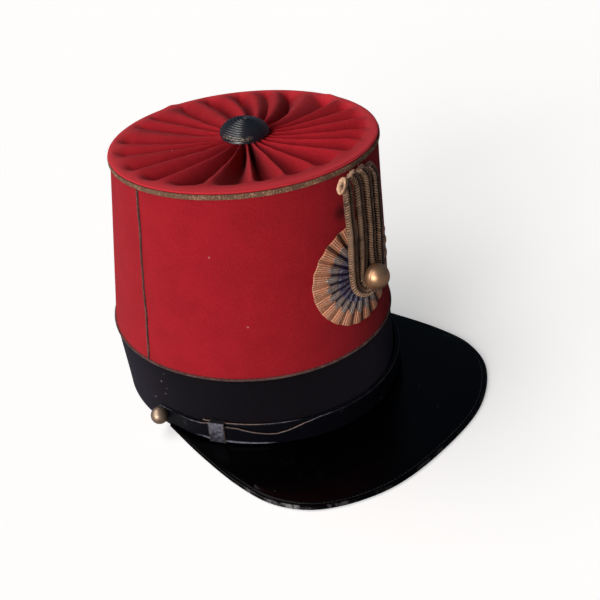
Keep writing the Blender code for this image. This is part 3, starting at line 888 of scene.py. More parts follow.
def patent_finish(name, colour):
    """Lacquered leather with fine scratches, dull rubs and a little dust. Its tone is up to 1 on the lip,
    which is painted paler: bare leather, and a painted highlight where it is brightest."""
    leather = Finish(name, specular_ior_level=0.10)
    place = leather.place()
    rubs = leather.group("Wear", {"Vector": place, "Scale": 38.0, "Amount": 0.42}).outputs["Mask"]
    streaks = leather.stretch(place, (1.0, 7.0, 1.0))
    scratches = leather.group("Wear", {"Vector": streaks, "Scale": 260.0, "Amount": 0.20}).outputs["Mask"]
    dust = leather.group("Lint", {"Vector": place, "Scale": 300.0, "Share": 0.012}).outputs["Mask"]
    tint = leather.layer(rubs, 0.5, colour, shade(colour, 2.5))
    tint = leather.layer(scratches, 0.12, tint, (0.012, 0.012, 0.018))
    tint = leather.layer(dust, 0.10, tint, (0.20, 0.20, 0.22))
    chips = leather.group("Wear", {"Vector": place, "Scale": 90.0, "Amount": 0.62}).outputs["Mask"]
    # Bare leather and a painted highlight on the lip, broken up by chips.
    bare = leather.math("MULTIPLY", leather.tone(), chips)
    leather.colour(leather.blend(bare, tint, (0.30, 0.29, 0.31)))
    rough = leather.math("ADD", leather.math("MULTIPLY", rubs, 0.15), leather.math("MULTIPLY", bare, 0.4))
    leather.rough(leather.math("ADD", rough, 0.24))
    leather.relief(leather.math("SUBTRACT", leather.noise(place, 420.0, 3.0), scratches), 0.00006, 0.4)
    return leather.material


def strap_finish(name, colour, worn, raw):
    """Lacquered strap leather, crazed and scuffed on its face and raw at its cut edges. Its tone is 0 on the
    face, a half where the lower edge is paler and 1 where it is bare."""
    leather = Finish(name, specular_ior_level=0.12)
    place = leather.place()
    grain = leather.noise(place, 620.0, 4.0, 0.7)
    rubs = leather.group("Wear", {"Vector": place, "Scale": 90.0, "Amount": 0.40}).outputs["Mask"]
    tint = leather.layer(rubs, leather.spread(grain, 0.4, 0.65, 0.0, 0.30), colour, worn)
    tone = leather.tone()
    # The outer half's lower edge is painted paler, in a lighter worn colour.
    pale_lower_edge = leather.spread(tone, 0.12, 0.42)
    pale_lower_edge = leather.math("MULTIPLY", pale_lower_edge, leather.spread(grain, 0.38, 0.56, 0.25, 1.0))
    tint = leather.blend(pale_lower_edge, tint, shade(worn, 1.8))
    bare = leather.spread(tone, 0.55, 0.80)
    bare = leather.math("MULTIPLY", bare, leather.spread(grain, 0.36, 0.54, 0.30, 1.0))
    leather.colour(leather.blend(bare, tint, raw))
    leather.rough(leather.spread(leather.math("MAXIMUM", pale_lower_edge, bare), 0.0, 1.0, 0.38, 0.65))
    leather.relief(grain, 0.00020, 0.5)
    return leather.material


def keeper_finish(name, worn, raw):
    """Leather whose lacquer has cracked off: grey blotches, darker low down, with brown showing at
    the edges. Its tone is 1 at the cut edges and a half on the faces that turn up or down, which
    kept their lacquer."""
    leather = Finish(name, specular_ior_level=0.2)
    place = leather.place()
    height = leather.add("ShaderNodeSeparateXYZ", {0: place}).outputs[2]
    low = leather.spread(height, STRAP_LOW, STRAP_HIGH, 0.16, 0.0)
    grain = leather.math("SUBTRACT", leather.noise(place, 480.0, 5.0, 0.7), low)
    tint = leather.blend(leather.spread(grain, 0.30, 0.62), shade(worn, 0.20), shade(worn, 1.25))
    tint = leather.blend(leather.spread(leather.tone(), 0.2, 0.5), tint, shade(worn, 0.08))
    leather.colour(leather.blend(leather.spread(leather.tone(), 0.55, 0.95, 0.0, 0.8), tint, raw))
    leather.rough(leather.spread(grain, 0.3, 0.6, 0.42, 0.65))
    leather.relief(grain, 0.00020, 0.5)
    return leather.material


def thread_finish(name, colour, hollow, threads, lean, metallic, bright_share, roughness=0.45):
    """Cord or braid of fine threads: bright flecks on the crests, brown wear between them, and painted shade
    in the hollows and between the threads. Its tone is 0 in the hollows and 1 on the crests, and carries the
    painted shade."""
    thread = Finish(name, specular_ior_level=0.4, metallic=metallic)
    place = thread.place()
    wrapping = {"Vector": thread.weave(), "Threads": threads, "Lean": lean}
    wrap = thread.group("Thread Wrap", wrapping).outputs
    clouds = thread.spread(thread.noise(place, 130.0, 3.0), 0.35, 0.65, -0.05, 0.05)
    grain = thread.math("ADD", thread.noise(place, 1150.0, 3.0, 0.7), clouds)
    flecks = thread.spread(grain, 0.60 - 0.25 * bright_share, 0.68 - 0.25 * bright_share)
    crest = thread.spread(thread.tone(), 0.05, 0.80)
    # Painted shade in the hollows, where the tone is low.
    tint = thread.blend(crest, hollow, thread.blend(flecks, mix_colours(hollow, colour, 0.30), colour))
    # Painted shade between the threads.
    thread.colour(thread.blend(thread.spread(wrap["Height"], 0.0, 1.0, 0.25, 0.0), tint, hollow))
    thread.rough(thread.spread(flecks, 0.0, 1.0, 0.65, roughness))
    thread.relief(thread.math("ADD", wrap["Height"], thread.math("MULTIPLY", grain, 3.0)), 0.00030, 0.9)
    return thread.material


def brass_finish(name, colour, patina):
    """Satin gilt brass under a brown patina, darker towards the wall. Its tone is 1 where the
    patina is deep."""
    brass = Finish(name)
    place = brass.place()
    bloom = brass.group("Tarnish", {"Vector": place, "Scale": 150.0, "Amount": patina}).outputs["Mask"]
    spots = brass.group("Wear", {"Vector": place, "Scale": 900.0, "Amount": 0.25}).outputs["Mask"]
    deep = brass.spread(brass.tone(), 0.0, 1.0, 0.0, 0.85)
    dull = brass.math("MAXIMUM", brass.math("MULTIPLY", bloom, 0.5), deep)
    tint = brass.blend(dull, colour, shade(colour, 0.25))
    brass.colour(brass.layer(spots, 0.25, tint, shade(colour, 0.35)))
    brass.metal(brass.spread(dull, 0.0, 1.0, 0.85, 0.70))
    brass.rough(brass.spread(dull, 0.0, 1.0, 0.40, 0.52))
    brass.relief(brass.math("SUBTRACT", brass.noise(place, 1500.0, 3.0), spots), 0.00003, 0.4)
    return brass.material


def silk_finish(name, colour, gold):
    """Black silk cord, with painted shade between its turns and a painted highlight on their crests, and a
    few gold threads still showing where its tone is 1.
    """
    silk = Finish(name, specular_ior_level=0.7)
    across = silk.add("ShaderNodeSeparateXYZ", {0: silk.weave()}).outputs[1]
    crest = silk.math("COSINE", silk.math("MULTIPLY", across, math.tau))
    wrap = silk.group("Thread Wrap", {"Vector": silk.weave(), "Threads": 300.0, "Lean": 2.0}).outputs
    # Painted shade between the turns and a painted highlight on their crests.
    tint = silk.blend(silk.spread(crest, 0.1, 0.9), shade(colour, 0.25), shade(colour, 2.0))
    flecks = silk.spread(silk.noise(silk.place(), 1000.0, 3.0, 0.7), 0.50, 0.58)
    silk.colour(silk.layer(flecks, silk.tone(), tint, gold))
    silk.rough(silk.spread(crest, 0.3, 0.95, 0.65, 0.28))
    silk.relief(wrap["Height"], 0.00002, 0.3)
    return silk.material


def ribbon_finish(name, ridge, valley, glint, valley_share, metallic):
    """Corded ribbon: fine ribs that run out from the middle, with painted glints on the ridges and painted
    shade between the ribs, and the valley colour in the pleats' valleys. Its tone is 0 in the valleys and 1
    on the ridges."""
    ribbon = Finish(name, specular_ior_level=0.5, metallic=metallic)
    place = ribbon.place()
    ribs = {"Vector": ribbon.weave(), "Threads": RIBS_TO_A_PLEAT * COCKADE_PLEATS, "Lean": 0.0}
    wrap = ribbon.group("Thread Wrap", ribs).outputs
    grain = ribbon.noise(place, 900.0, 3.0, 0.7)
    clouds = ribbon.spread(ribbon.noise(place, 190.0, 3.0), 0.42, 0.62)
    tint = ribbon.layer(clouds, 0.35, ridge, shade(ridge, 0.50))
    # The valley colour in the valleys: painted shade on the copper ring.
    tint = ribbon.blend(ribbon.spread(ribbon.tone(), 0.15, 0.85, valley_share, 0.0), tint, valley)
    rough_ribs = ribbon.math("ADD", wrap["Height"], ribbon.math("MULTIPLY", grain, 0.5))
    # Painted shade between the ribs.
    tint = ribbon.blend(ribbon.spread(rough_ribs, 0.45, 1.05, 0.5, 0.0), tint, shade(ridge, 0.25))
    # Painted glints on the ridges.
    shine = ribbon.spread(grain, 0.40, 0.56)
    shine = ribbon.math("MULTIPLY", shine, ribbon.spread(ribbon.tone(), 0.35, 0.95))
    shine = ribbon.math("MULTIPLY", shine, ribbon.spread(wrap["Height"], 0.70, 0.95))
    ribbon.colour(ribbon.blend(shine, tint, glint))
    ribbon.rough(ribbon.spread(wrap["Height"], 0.0, 1.0, 0.65, 0.42))
    ribbon.relief(ribbon.math("ADD", wrap["Height"], ribbon.math("MULTIPLY", grain, 2.0)), 0.00045, 0.9)
    return ribbon.material


# ----------------------------------------------------------------------------
# Cloth pieces
# ----------------------------------------------------------------------------


def wavering(turn, height, size, waves=9.0):
    """A soft, repeatable wandering of the cloth by up to about the size."""
    angle = math.radians(turn)
    x = waves * math.sin(angle) / 3
    y = waves * math.cos(angle) / 3
    return size * noise.noise(Vector((x, y, height * WAVES_UP)))


def make_crown_side(cloth):
    """The tall side of the crown: one sheet of cloth from behind the band's piping to behind the
    top braid."""
    low = BAND_HEIGHT + GAP

    def place(u, v):
        turn = 360.0 * u
        height = mix(low, SEAM_HEIGHT, v)
        held = ease(0.0, 0.08, v) * ease(1.0, 0.92, v)
        return on_wall(turn, height, held * wavering(turn, height, cloth.waviness))

    spot = on_wall(DARK_SPOT_TURN, DARK_SPOT_HEIGHT)
    red = tuple(cloth.crown)
    lint = (0.70, 0.34, 0.36)
    # The rolled rim's paler colour: rubbed cloth and a painted highlight.
    rub_and_highlight = mix_colours(shade(red, 1.35), lint, 0.05)
    dark_spot = (spot, DARK_SPOT_RADIUS, DARK_SPOT_STRENGTH)
    finish = cloth_finish("red_wool", red, rub_and_highlight, lint, lint_share=0.006, dark_spots=[dark_spot], sheen=0.18)
    shape = bent_sheet(WALL_STEPS, CROWN_ROWS, place)
    piece = add_piece("crown_side_cloth", shape, [finish], ["crown_side"], "red_cloth")
    thicken(piece, CLOTH)
    return finish


def pleat_columns():
    """For each point round the top: its turn at the outer and the inner reach, and its share of the
    pleats' depth, from 0 on a ridge."""
    columns = []
    for pleat, after in zip(PLEATS, PLEATS[1:] + PLEATS[:1]):
        wrap = 360.0 if after.outer < pleat.outer else 0.0
        ridge = reading(PLEAT_LEAN, pleat.outer)
        for step in range(PLEAT_STEPS):
            share = step / PLEAT_STEPS
            slope = share / ridge if share < ridge else (1.0 - share) / (1.0 - ridge)
            bowl = math.cos(math.pi / 2 * slope) ** BOWL_POWER
            fold = 1.0 - math.sin(math.pi / 2 * slope) ** FOLD_POWER
            nearer = pleat if share < ridge else after
            depth = nearer.depth * mix(bowl, fold, reading(PLEAT_ROUNDNESS, pleat.outer))
            outer = mix(pleat.outer, after.outer + wrap, share)
            inner = mix(pleat.inner, after.inner + wrap, share)
            columns.append((outer, inner, depth))
    return columns


def top_reaches():
    """The rings of the top: the reach of each, and its height in the rolled rim as a share."""
    roll = RIM_ROLL / CROWN.half_length
    start = math.acos(1.0 - RIM_BULGE / RIM_ROLL)
    rings = []
    for step in range(RIM_STEPS + 1):
        angle = mix(-start, math.pi / 2, step / RIM_STEPS)
        reach = 1.0 + roll * (math.cos(angle) - math.cos(start))
        rings.append((reach, (math.sin(angle) + math.sin(start)) / (1.0 + math.sin(start))))
    inner = rings[-1][0]
    for step in range(1, TOP_RINGS + 1):
        rings.append((inner * (1.0 - (step / TOP_RINGS) ** TOP_RING_SPREAD), 1.0))
    return rings


def make_crown_top(cloth, finish):
    """The top: cloth gathered into pleats that run in under the button, with a smooth rolled rim."""
    columns = pleat_columns()
    rings = top_reaches()

    def place(u, v):
        outer, inner, depth = columns[round(u * len(columns)) % len(columns)]
        reach, rise = rings[round(v * (len(rings) - 1))]
        share = clamp((PLEAT_OUTER_REACH - reach) / (PLEAT_OUTER_REACH - PLEAT_INNER_REACH))
        if u > 0.5 and outer < 0.0:
            outer += 360.0
            inner += 360.0
        turn = mix(outer, inner, share)
        angle = math.radians(turn)
        opening = reading(PLEAT_OPENING, math.degrees(math.atan2(math.sin(angle), math.cos(angle))))
        bowl = ease(opening, opening - PLEAT_MOUTH, reach) * ease(*PLEAT_HUB, reach)
        puff = PLEAT_PUFF * (1.0 - depth)
        puff *= ease(opening, opening - PUFF_MOUTH, reach) * ease(*PUFF_HUB, reach)
        sag = TOP_SAG * ease(*SAG_REACH, reach)
        height = mix(SEAM_HEIGHT + 0.0002, TOP_HEIGHT, rise) - sag - cloth.pleat_depth * depth * bowl + puff
        height += wavering(turn, reach, TOP_WAVER, TOP_WAVES) * ease(*TOP_WAVER_REACH, reach)
        facing = ease(*SHOULDER_FACING, math.cos(math.radians(turn - SHOULDER_TURN)))
        height -= TOP_SHOULDER * facing * ease(*SHOULDER_REACH, reach) * rise
        for bump_turn, bump_reach in RIM_BUMPS:
            off_turn = math.remainder(turn - bump_turn, 360.0) / RIM_BUMP_TURN
            off_reach = (reach - bump_reach) / RIM_BUMP_REACH
            height += RIM_BUMP_HEIGHT * rise * math.exp(-(off_turn ** 2) - off_reach ** 2)
        x = CROWN.half_width * reach * math.sin(angle)
        y = CROWN.centre_y - CROWN.half_length * reach * math.cos(angle)
        return Vector((x, y, height)) + PLEAT_CENTRE * (1.0 - reach)

    def tone(u, v):
        reach = rings[round(v * (len(rings) - 1))][0]
        fold = columns[round(u * len(columns)) % len(columns)][2] * ease(0.08, 0.20, reach)
        # Rubbed cloth and a painted highlight on the rolled rim.
        rub_and_highlight = ease(0.88, 0.985, reach)
        # Painted shade, deepest in the deep folds and towards the middle.
        fold_shade = mix(1.0, 0.7, reach) * ease(0.95, 0.75, reach) * mix(0.15, 1.0, fold)
        return rub_and_highlight - fold_shade

    shape = bent_sheet(len(columns), len(rings) - 1, place, tone)
    piece = add_piece("crown_top_cloth", shape, [finish], ["crown_top"], "red_cloth", 80.0)
    thicken(piece, TOP_CLOTH)


def make_band(cloth):
    """The dark band, which stands on the table."""

    def place(u, v):
        turn = 360.0 * u
        height = mix(0.0, BAND_HEIGHT, v)
        held = ease(0.0, 0.2, v) * ease(1.0, 0.85, v)
        return on_wall(turn, height, held * wavering(turn, height, cloth.waviness))

    dark = tuple(cloth.band)
    lint = (0.50, 0.42, 0.60)
    finish = cloth_finish("dark_wool", dark, dark, lint, lint_share=0.02, sheen=0.17, grain=0.8)
    shape = bent_sheet(WALL_STEPS, BAND_ROWS, place)
    piece = add_piece("band_cloth", shape, [finish], ["band"], "black_cloth")
    thicken(piece, CLOTH)


# ----------------------------------------------------------------------------
# Braid, piping and cord
# ----------------------------------------------------------------------------


def round_wall(height, proud):
    """A path once round the cap."""

    def path(share):
        turn = 360.0 * share
        return on_wall(turn, height, proud), outward(turn, height)

    return path


def make_top_braid(trim):
    """A flat plait of three gilt strands round the top of the side."""
    half = (BRAID_HIGH - BRAID_LOW) / 2
    strand_half = BRAID_STRAND_SHARE * half
    swing = half - strand_half
    middle = (BRAID_LOW + BRAID_HIGH) / 2
    strands = []
    for number in range(BRAID_STRANDS):

        def path(share, number=number):
            phase = math.tau * (trim.plaits * share + number / BRAID_STRANDS)
            proud = BRAID_PROUD + BRAID_CROSSING * math.sin(2.0 * phase)
            height = middle + swing * math.sin(phase)
            turn = 360.0 * share
            return on_wall(turn, height, proud), outward(turn, middle)

        def section(u, angle):
            return BRAID_HALF_DEPTH * math.cos(angle), strand_half * math.sin(angle)

        # Painted shade: the tone is low on the strand's back and where it dips under another strand.
        def tone(u, v, number=number):
            phase = 2.0 * math.tau * (trim.plaits * u + number / BRAID_STRANDS)
            weave = 0.5 + 0.5 * math.sin(phase)
            return (0.5 + 0.5 * math.cos(math.tau * v)) * mix(0.45, 1.0, weave)

        strands.append(cord_shape(path, BRAID_STEPS * trim.plaits, 6, section, tone, closed=True))
    finish = thread_finish(
        "gilt_thread",
        tuple(trim.gilt),
        hollow=(0.060, 0.026, 0.018),
        threads=2600.0,
        lean=2.0,
        metallic=0.30,
        bright_share=0.32,
    )
    shape = join_shapes(*strands)
    add_piece("top_braid_plait", shape, [finish] * BRAID_STRANDS, ["top_braid"], "gilt_braid")


def twisted_section(radius, twists):
    """The section of a two-ply cord, which turns as it goes along."""

    def lobe(u, angle):
        return abs(math.cos(angle - math.tau * twists * u / 2))

    def section(u, angle):
        reach = radius * mix(PIPING_WAIST, 1.0, lobe(u, angle))
        return reach * math.cos(angle), reach * math.sin(angle)

    # Painted shade: the tone is low in the groove between the plies.
    def tone(u, v):
        return lobe(u, math.tau * v)

    return section, tone


def make_piping(trim):
    """The twisted cord over the seam above the band, and the two down the side seams."""
    radius = trim.piping_radius
    finish = thread_finish(
        "piping_cord",
        tuple(trim.piping),
        hollow=(0.050, 0.018, 0.018),
        threads=3000.0,
        lean=2.0,
        metallic=0.05,
        bright_share=0.50,
    )
    oval = oval_at(BAND_HEIGHT)
    around = math.pi * (oval.half_width + oval.half_length)
    twists = 2 * round(around / PIPING_PITCH)
    section, tone = twisted_section(radius, twists)
    path = round_wall(middle_of("band_piping").z, PIPING_SEAT)
    shape = cord_shape(path, twists * PIPING_STEPS, PIPING_SIDES, section, tone, closed=True)
    add_piece("band_piping_cord", shape, [finish], ["band_piping"], "piping_cord")
    for side in ("right", "left"):
        node = "side_piping_" + side
        points = [vertex.co.copy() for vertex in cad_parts[node].data.vertices]
        points.sort(key=lambda point: point.z)
        low, high = points[0].z, points[-1].z
        foot, head = turn_of(points[0]), turn_of(points[-1])

        def path(share, low=low, high=high, foot=foot, head=head):
            height = mix(low, high, share)
            turn = mix(foot, head, share)
            for size, waves in PIPING_WANDER:
                turn += size * math.sin(height * waves)
            return on_wall(turn, height, PIPING_SEAT), outward(turn, height)

        twists = 2 * round((high - low) / PIPING_PITCH)
        section, tone = twisted_section(radius, twists)
        shape = cord_shape(path, twists * PIPING_STEPS, PIPING_SIDES, section, tone)
        add_piece(node + "_cord", shape, [finish], [node], "piping_cord")


def dome_point(share):
    """A point of the top button's dome, from the middle at 0 to its rim at 1: its radius and its height."""
    angle = share * math.pi / 2
    radius = (TOP_BUTTON_RADIUS - TOP_CORD) * math.sin(angle)
    rise = DOME_SILL + (1.0 - DOME_SILL) * math.cos(angle)
    height = (TOP_BUTTON_RISE - 2 * TOP_CORD) * rise + DOME_LIFT
    return radius, height


def make_top_button(trim):
    """A cord wound into a dome, over a plain core that closes its foot."""
    base = Vector((TOP_BUTTON_CENTRE.x, TOP_BUTTON_CENTRE.y, TOP_BUTTON_BASE))

    def angle_at(share):
        return math.tau * TOP_CORD_TURNS * share ** TOP_CORD_SPREAD - TOP_CORD_START

    def path(share):
        share = clamp(share)
        radius, height = dome_point(mix(TOP_CORD_EYE, 1.0, share ** TOP_CORD_SPREAD))
        angle = angle_at(share)
        radial = Vector((math.sin(angle), -math.cos(angle), 0.0))
        slope = math.pi / 2 * share ** TOP_CORD_SPREAD
        out = radial * math.sin(slope) + Vector((0.0, 0.0, 1.0)) * math.cos(slope)
        return base + radial * radius + Vector((0.0, 0.0, height)), out

    def section(u, angle):
        return TOP_CORD * math.cos(angle), TOP_CORD * math.sin(angle)

    def tone(u, v):
        front = ease(0.70, 0.98, math.cos(angle_at(u) - GOLD_TURN))
        return 0.8 * front * ease(0.78, 0.92, u ** TOP_CORD_SPREAD)

    coil = cord_shape(path, TOP_CORD_STEPS, 10, section, tone)
    profile = []
    for step in range(CORE_ROWS + 1):
        radius, height = dome_point(step / CORE_ROWS)
        profile.append((radius * CORE_SHARE, height - CORE_SINK))
    profile[0] = (0.0, profile[0][1])
    profile += [(TOP_BUTTON_RADIUS * CORE_FOOT_SHARE, CORE_FOOT_LIFT), (0.0, CORE_FOOT_LIFT)]
    core = turned_shape(profile, CORE_SIDES)
    bmesh.ops.translate(core, vec=base, verts=core.verts)
    axis = Vector((math.sin(math.radians(LEAN_TURN)), -math.cos(math.radians(LEAN_TURN)), 0.0))
    leaning = Matrix.Rotation(math.radians(TOP_BUTTON_LEAN), 3, axis)
    finish = silk_finish("black_silk_cord", tuple(trim.silk), gold=(0.46, 0.38, 0.27))
    button = join_shapes(coil, core)
    bmesh.ops.rotate(button, cent=base, matrix=leaning, verts=button.verts)
    add_piece("top_button_coil", button, [finish, finish], ["top_button"], "black_cord")


def on_loops(across, up, proud):
    """A point by its distances across and up from the middle of the eye, along the front of the wall."""
    height = COCKADE_HEIGHT + EYE_UP + up
    turn = math.degrees((COCKADE_ASIDE + EYE_ACROSS + across) / oval_at(height).half_width)
    return on_wall(turn, height, proud)


def smooth_curve(points):
    """A path through the points, as a function of a share from 0 to 1 by length."""
    padded = [2 * points[0] - points[1], *points, 2 * points[-1] - points[-2]]
    steps = 12
    curve = []
    for before, start, end, after in zip(padded, padded[1:], padded[2:], padded[3:]):
        for step in range(steps):
            t = step / steps
            bend = (2 * before - 5 * start + 4 * end - after) * t * t
            bend += (3 * start - before - 3 * end + after) * t * t * t
            curve.append((2 * start + (end - before) * t + bend) / 2)
    curve.append(points[-1])
    lengths = [0.0]
    for start, end in zip(curve, curve[1:]):
        lengths.append(lengths[-1] + (end - start).length)

    def at(share):
        goal = clamp(share) * lengths[-1]
        low, high = 0, len(lengths) - 1
        while high - low > 1:
            middle = (low + high) // 2
            if lengths[middle] <= goal:
                low = middle
            else:
                high = middle
        part = (goal - lengths[low]) / (lengths[high] - lengths[low])
        return curve[low].lerp(curve[high], part)

    return at, lengths[-1]


def loop_points(loop, loose_end):
    """The left strand down, the eye round the button and the right strand up, across, up and proud."""
    left, right = [], []
    for station in CORD_STRAND:
        share = ease(0.0, 1.0, 1.0 - station.up / CORD_EYE_BLEND)
        across = mix(loop.spread, loop.eye, share)
        up = station.up - loop.trim
        left.append(Vector((across - station.aside, up, station.proud)))
        right.append(Vector((-across - station.aside, up, station.proud)))
    eye = []
    for index in range(CORD_EYE_POINTS + 1):
        angle = math.pi * index / CORD_EYE_POINTS
        eye.append(Vector((loop.eye * math.cos(angle), -loop.eye * math.sin(angle), CORD_STRAND[-1].proud)))
    if loose_end:
        right = [Vector(row) for row in loose_end] + right[LOOSE_STATIONS:]
    return left + eye + right[::-1]


def make_cord_loop(loop, loose_end, finish, hair_finish):
    """A flat cord of two ropes side by side, wound with bright thread that leans inwards on both of
    them. A cut end flares, and is hollow."""
    at, length = smooth_curve(loop_points(loop, loose_end))
    flare_start, flare_end = (1.0 - stretch / length for stretch in CUT_END_STRETCH)

    def path(share):
        place = at(share).copy()
        place.x += CORD_WANDER * math.sin(place.y * CORD_WANDER_WAVES + loop.spread * CORD_WANDER_SHIFT)
        turn = math.degrees((COCKADE_ASIDE + EYE_ACROSS + place.x) / oval_at(COCKADE_HEIGHT).half_width)
        return on_loops(*place), outward(turn, COCKADE_HEIGHT)

    def flare(u):
        return ease(flare_start, flare_end, u) if loose_end else 0.0

    def groove(angle):
        return math.exp(-((math.sin(angle) / CORD_GROOVE_WIDTH) ** 2))

    def thread(u, angle):
        lean = abs(math.sin(angle)) * CORD_THREAD_LEAN
        return abs(math.sin(math.pi * (u * length / CORD_THREAD + lean)))

    def section(u, angle):
        relief = 1.0 + CORD_THREAD_RELIEF * (thread(u, angle) - 0.5)
        relief *= 1.0 + CUT_END_FLARE * flare(u)
        sunk = CORD_GROOVE * groove(angle) * (1.0 - flare(u))
        rise = CORD_HALF_DEPTH * math.cos(angle) * (1.0 - sunk)
        return rise * relief, CORD_HALF_WIDTH * math.sin(angle) * relief

    def tone(u, v):
        # Painted shade in the hollow of the cut end.
        if loose_end and u > 1.0 - 1e-6:
            return 0.0
        side = math.sin(math.tau * v)
        count = math.floor(u * length / CORD_THREAD + CORD_THREAD_LEAN * abs(side))
        own_place = Vector((count * 3.7, 4.0 * loop.spread, math.copysign(2.0, side)))
        bead = 0.85 + 0.75 * noise.noise(own_place)
        # Painted shade in the groove between the ropes and at their outer edges.
        lobe = ease(0.02, 0.35, abs(side)) * mix(1.0, 0.5, ease(0.85, 1.0, abs(side)))
        # Painted light and shade on each rope, from the table of rope brightness.
        (before_left, before_right), (after_left, after_right) = CORD_ROPE_LIGHT[loop.node]
        before = before_left if side > 0.0 else before_right
        after = after_left if side < 0.0 else after_right
        lobe *= mix(before, after, ease(0.44, 0.56, u)) + 0.5 * ease(0.06, 0.0, abs(u - 0.5))
        # Painted shade between the threads; the flared cut end is paler.
        return clamp(thread(u, math.tau * v) ** 1.7 * lobe * bead + 0.8 * ease(0.8, 1.0, flare(u)))

    rings = round(length / CORD_THREAD * CORD_THREAD_STEPS)
    hollow = CUT_END_HOLLOW / length if loose_end else 0.0
    shapes = [cord_shape(path, rings, CORD_SIDES, section, tone, hollow=hollow)]
    if loose_end:
        shapes += loose_hairs(path)
    finishes = [finish] + [hair_finish] * (len(shapes) - 1)
    add_piece(loop.node + "_cord", join_shapes(*shapes), finishes, [loop.node], "bullion", 75.0)


def loose_hairs(path):
    """Fine threads that stand up from the cut end."""
    point, out, across = frame_along(path, 1.0 - 0.002)
    along = across.cross(out)
    shortest, spare = HAIR_LENGTH
    ring_out, ring_across = HAIR_RING
    lean_out, lean_across = HAIR_LEAN
    hairs = []
    for number in range(HAIRS):
        angle = math.radians(-80.0 + 34.0 * number)
        foot = point + out * (ring_out * math.cos(angle)) + across * (ring_across * math.sin(angle))
        foot -= along * HAIR_ROOT
        rise = shortest + spare * (number * 0.37 % 1.0)
        lean = out * (lean_out * math.cos(3.0 * angle)) + across * (lean_across * math.sin(2.0 * angle))
        at, _ = smooth_curve([foot, foot + along * rise * 0.5 + lean * 0.3, foot + along * rise + lean])

        def hair(share, at=at):
            return at(share), out

        def section(u, angle):
            return HAIR_RADIUS * math.cos(angle), HAIR_RADIUS * math.sin(angle)

        hairs.append(cord_shape(hair, 8, 6, section, lambda u, v: 0.9))
    return hairs


def make_cord_loops(trim):
    """Both loops of bullion cord over the cockade."""
    finish = thread_finish(
        "bullion_cord",
        tuple(trim.bullion),
        hollow=(0.065, 0.030, 0.020),
        threads=800.0,
        lean=6.0,
        metallic=0.22,
        bright_share=0.85,
    )
    hairs = thread_finish(
        "loose_thread",
        (0.80, 0.74, 0.66),
        hollow=(0.30, 0.22, 0.15),
        threads=40.0,
        lean=40.0,
        metallic=0.0,
        bright_share=1.0,
    )
    outer, inner = CORD_LOOPS
    make_cord_loop(outer, CORD_LOOSE_END, finish, hairs)
    make_cord_loop(inner, (), finish, hairs)


# ----------------------------------------------------------------------------
# Leather
# ----------------------------------------------------------------------------


def peak_path():
    """The outer edge of the peak from the wearer's right temple to the left one, as a function of a share."""
    left = [Vector((point.x, HEAD_Y + point.y, 0.0)) for point in PEAK_OUTLINE]
    right = [Vector((-point.x, point.y, 0.0)) for point in left]
    return smooth_curve(right + left[-2::-1])


def peak_section():
    """The section of the peak, from the band over its face and lip and back beneath. Each row is
    how far it lies in from the edge, or else its share of the way from the band, and its height."""
    lip = PEAK_THICKNESS / 2
    rows = [(0.0, share, PEAK_THICKNESS + PEAK_FACE_RISE) for share in PEAK_FACE_SHARES]
    for inset in PEAK_SEAM_INSETS:
        dip = SEAM_DEPTH * math.exp(-(((inset - SEAM_INSET) / SEAM_WIDTH) ** 2))
        rows.append((inset, None, PEAK_THICKNESS + PEAK_FACE_RISE / 2 - dip))
    for step in range(PEAK_LIP_STEPS + 1):
        angle = math.pi * step / PEAK_LIP_STEPS
        rows.append((lip * (1.0 - math.sin(angle)), None, lip + lip * math.cos(angle)))
    rows += [(0.003, None, 0.0), (0.0, 0.5, 0.0), (0.0, 0.0, 0.0)]
    return rows + rows[:1]


def make_peak(leather):
    """The wide flat peak, with a rounded lip and a line of stitches just inside it."""
    edge, length = peak_path()
    rows = peak_section()

    def place(u, v):
        outer = edge(u)
        turn = mix(-PEAK_TEMPLE_TURN, PEAK_TEMPLE_TURN, u)
        inner = on_wall(turn, 0.0, PEAK_GAP)
        width = (outer - inner).length
        inset, share, height = rows[round(v * (len(rows) - 1))]
        if share is None:
            share = max(0.2, 1.0 - inset / width)
        across = inner.lerp(outer, share)
        if height > PEAK_THICKNESS / 2:
            height += PEAK_SWELL * math.sin(math.pi * clamp(share))
        return Vector((across.x, across.y, height))

    def tone(u, v):
        inset, share, height = rows[round(v * (len(rows) - 1))]
        # The lip is painted paler: bare leather, and a painted highlight.
        on_lip = share is None and inset < 0.0012 and 0.0004 < height
        return reading(LIP_BARE_AND_HIGHLIGHT, 2.0 * u - 1.0) if on_lip else 0.0

    body = bent_sheet(PEAK_STEPS * 12, len(rows) - 1, place, tone)
    bmesh.ops.reverse_faces(body, faces=body.faces)
    ends = [item for item in body.edges if item.is_boundary]
    bmesh.ops.holes_fill(body, edges=ends, sides=0)
    bmesh.ops.recalc_face_normals(body, faces=body.faces)
    stitches = peak_stitches(edge, length, leather.stitch)
    lacquer = patent_finish("patent_leather", tuple(leather.patent))
    thread = thread_finish(
        "seam_thread",
        (0.050, 0.048, 0.050),
        hollow=(0.010, 0.010, 0.012),
        threads=4.0,
        lean=4.0,
        metallic=0.0,
        bright_share=0.5,
    )
    shape = join_shapes(body, stitches)
    add_piece("peak_leather", shape, [lacquer, thread], ["peak"], "patent_leather", 50.0)


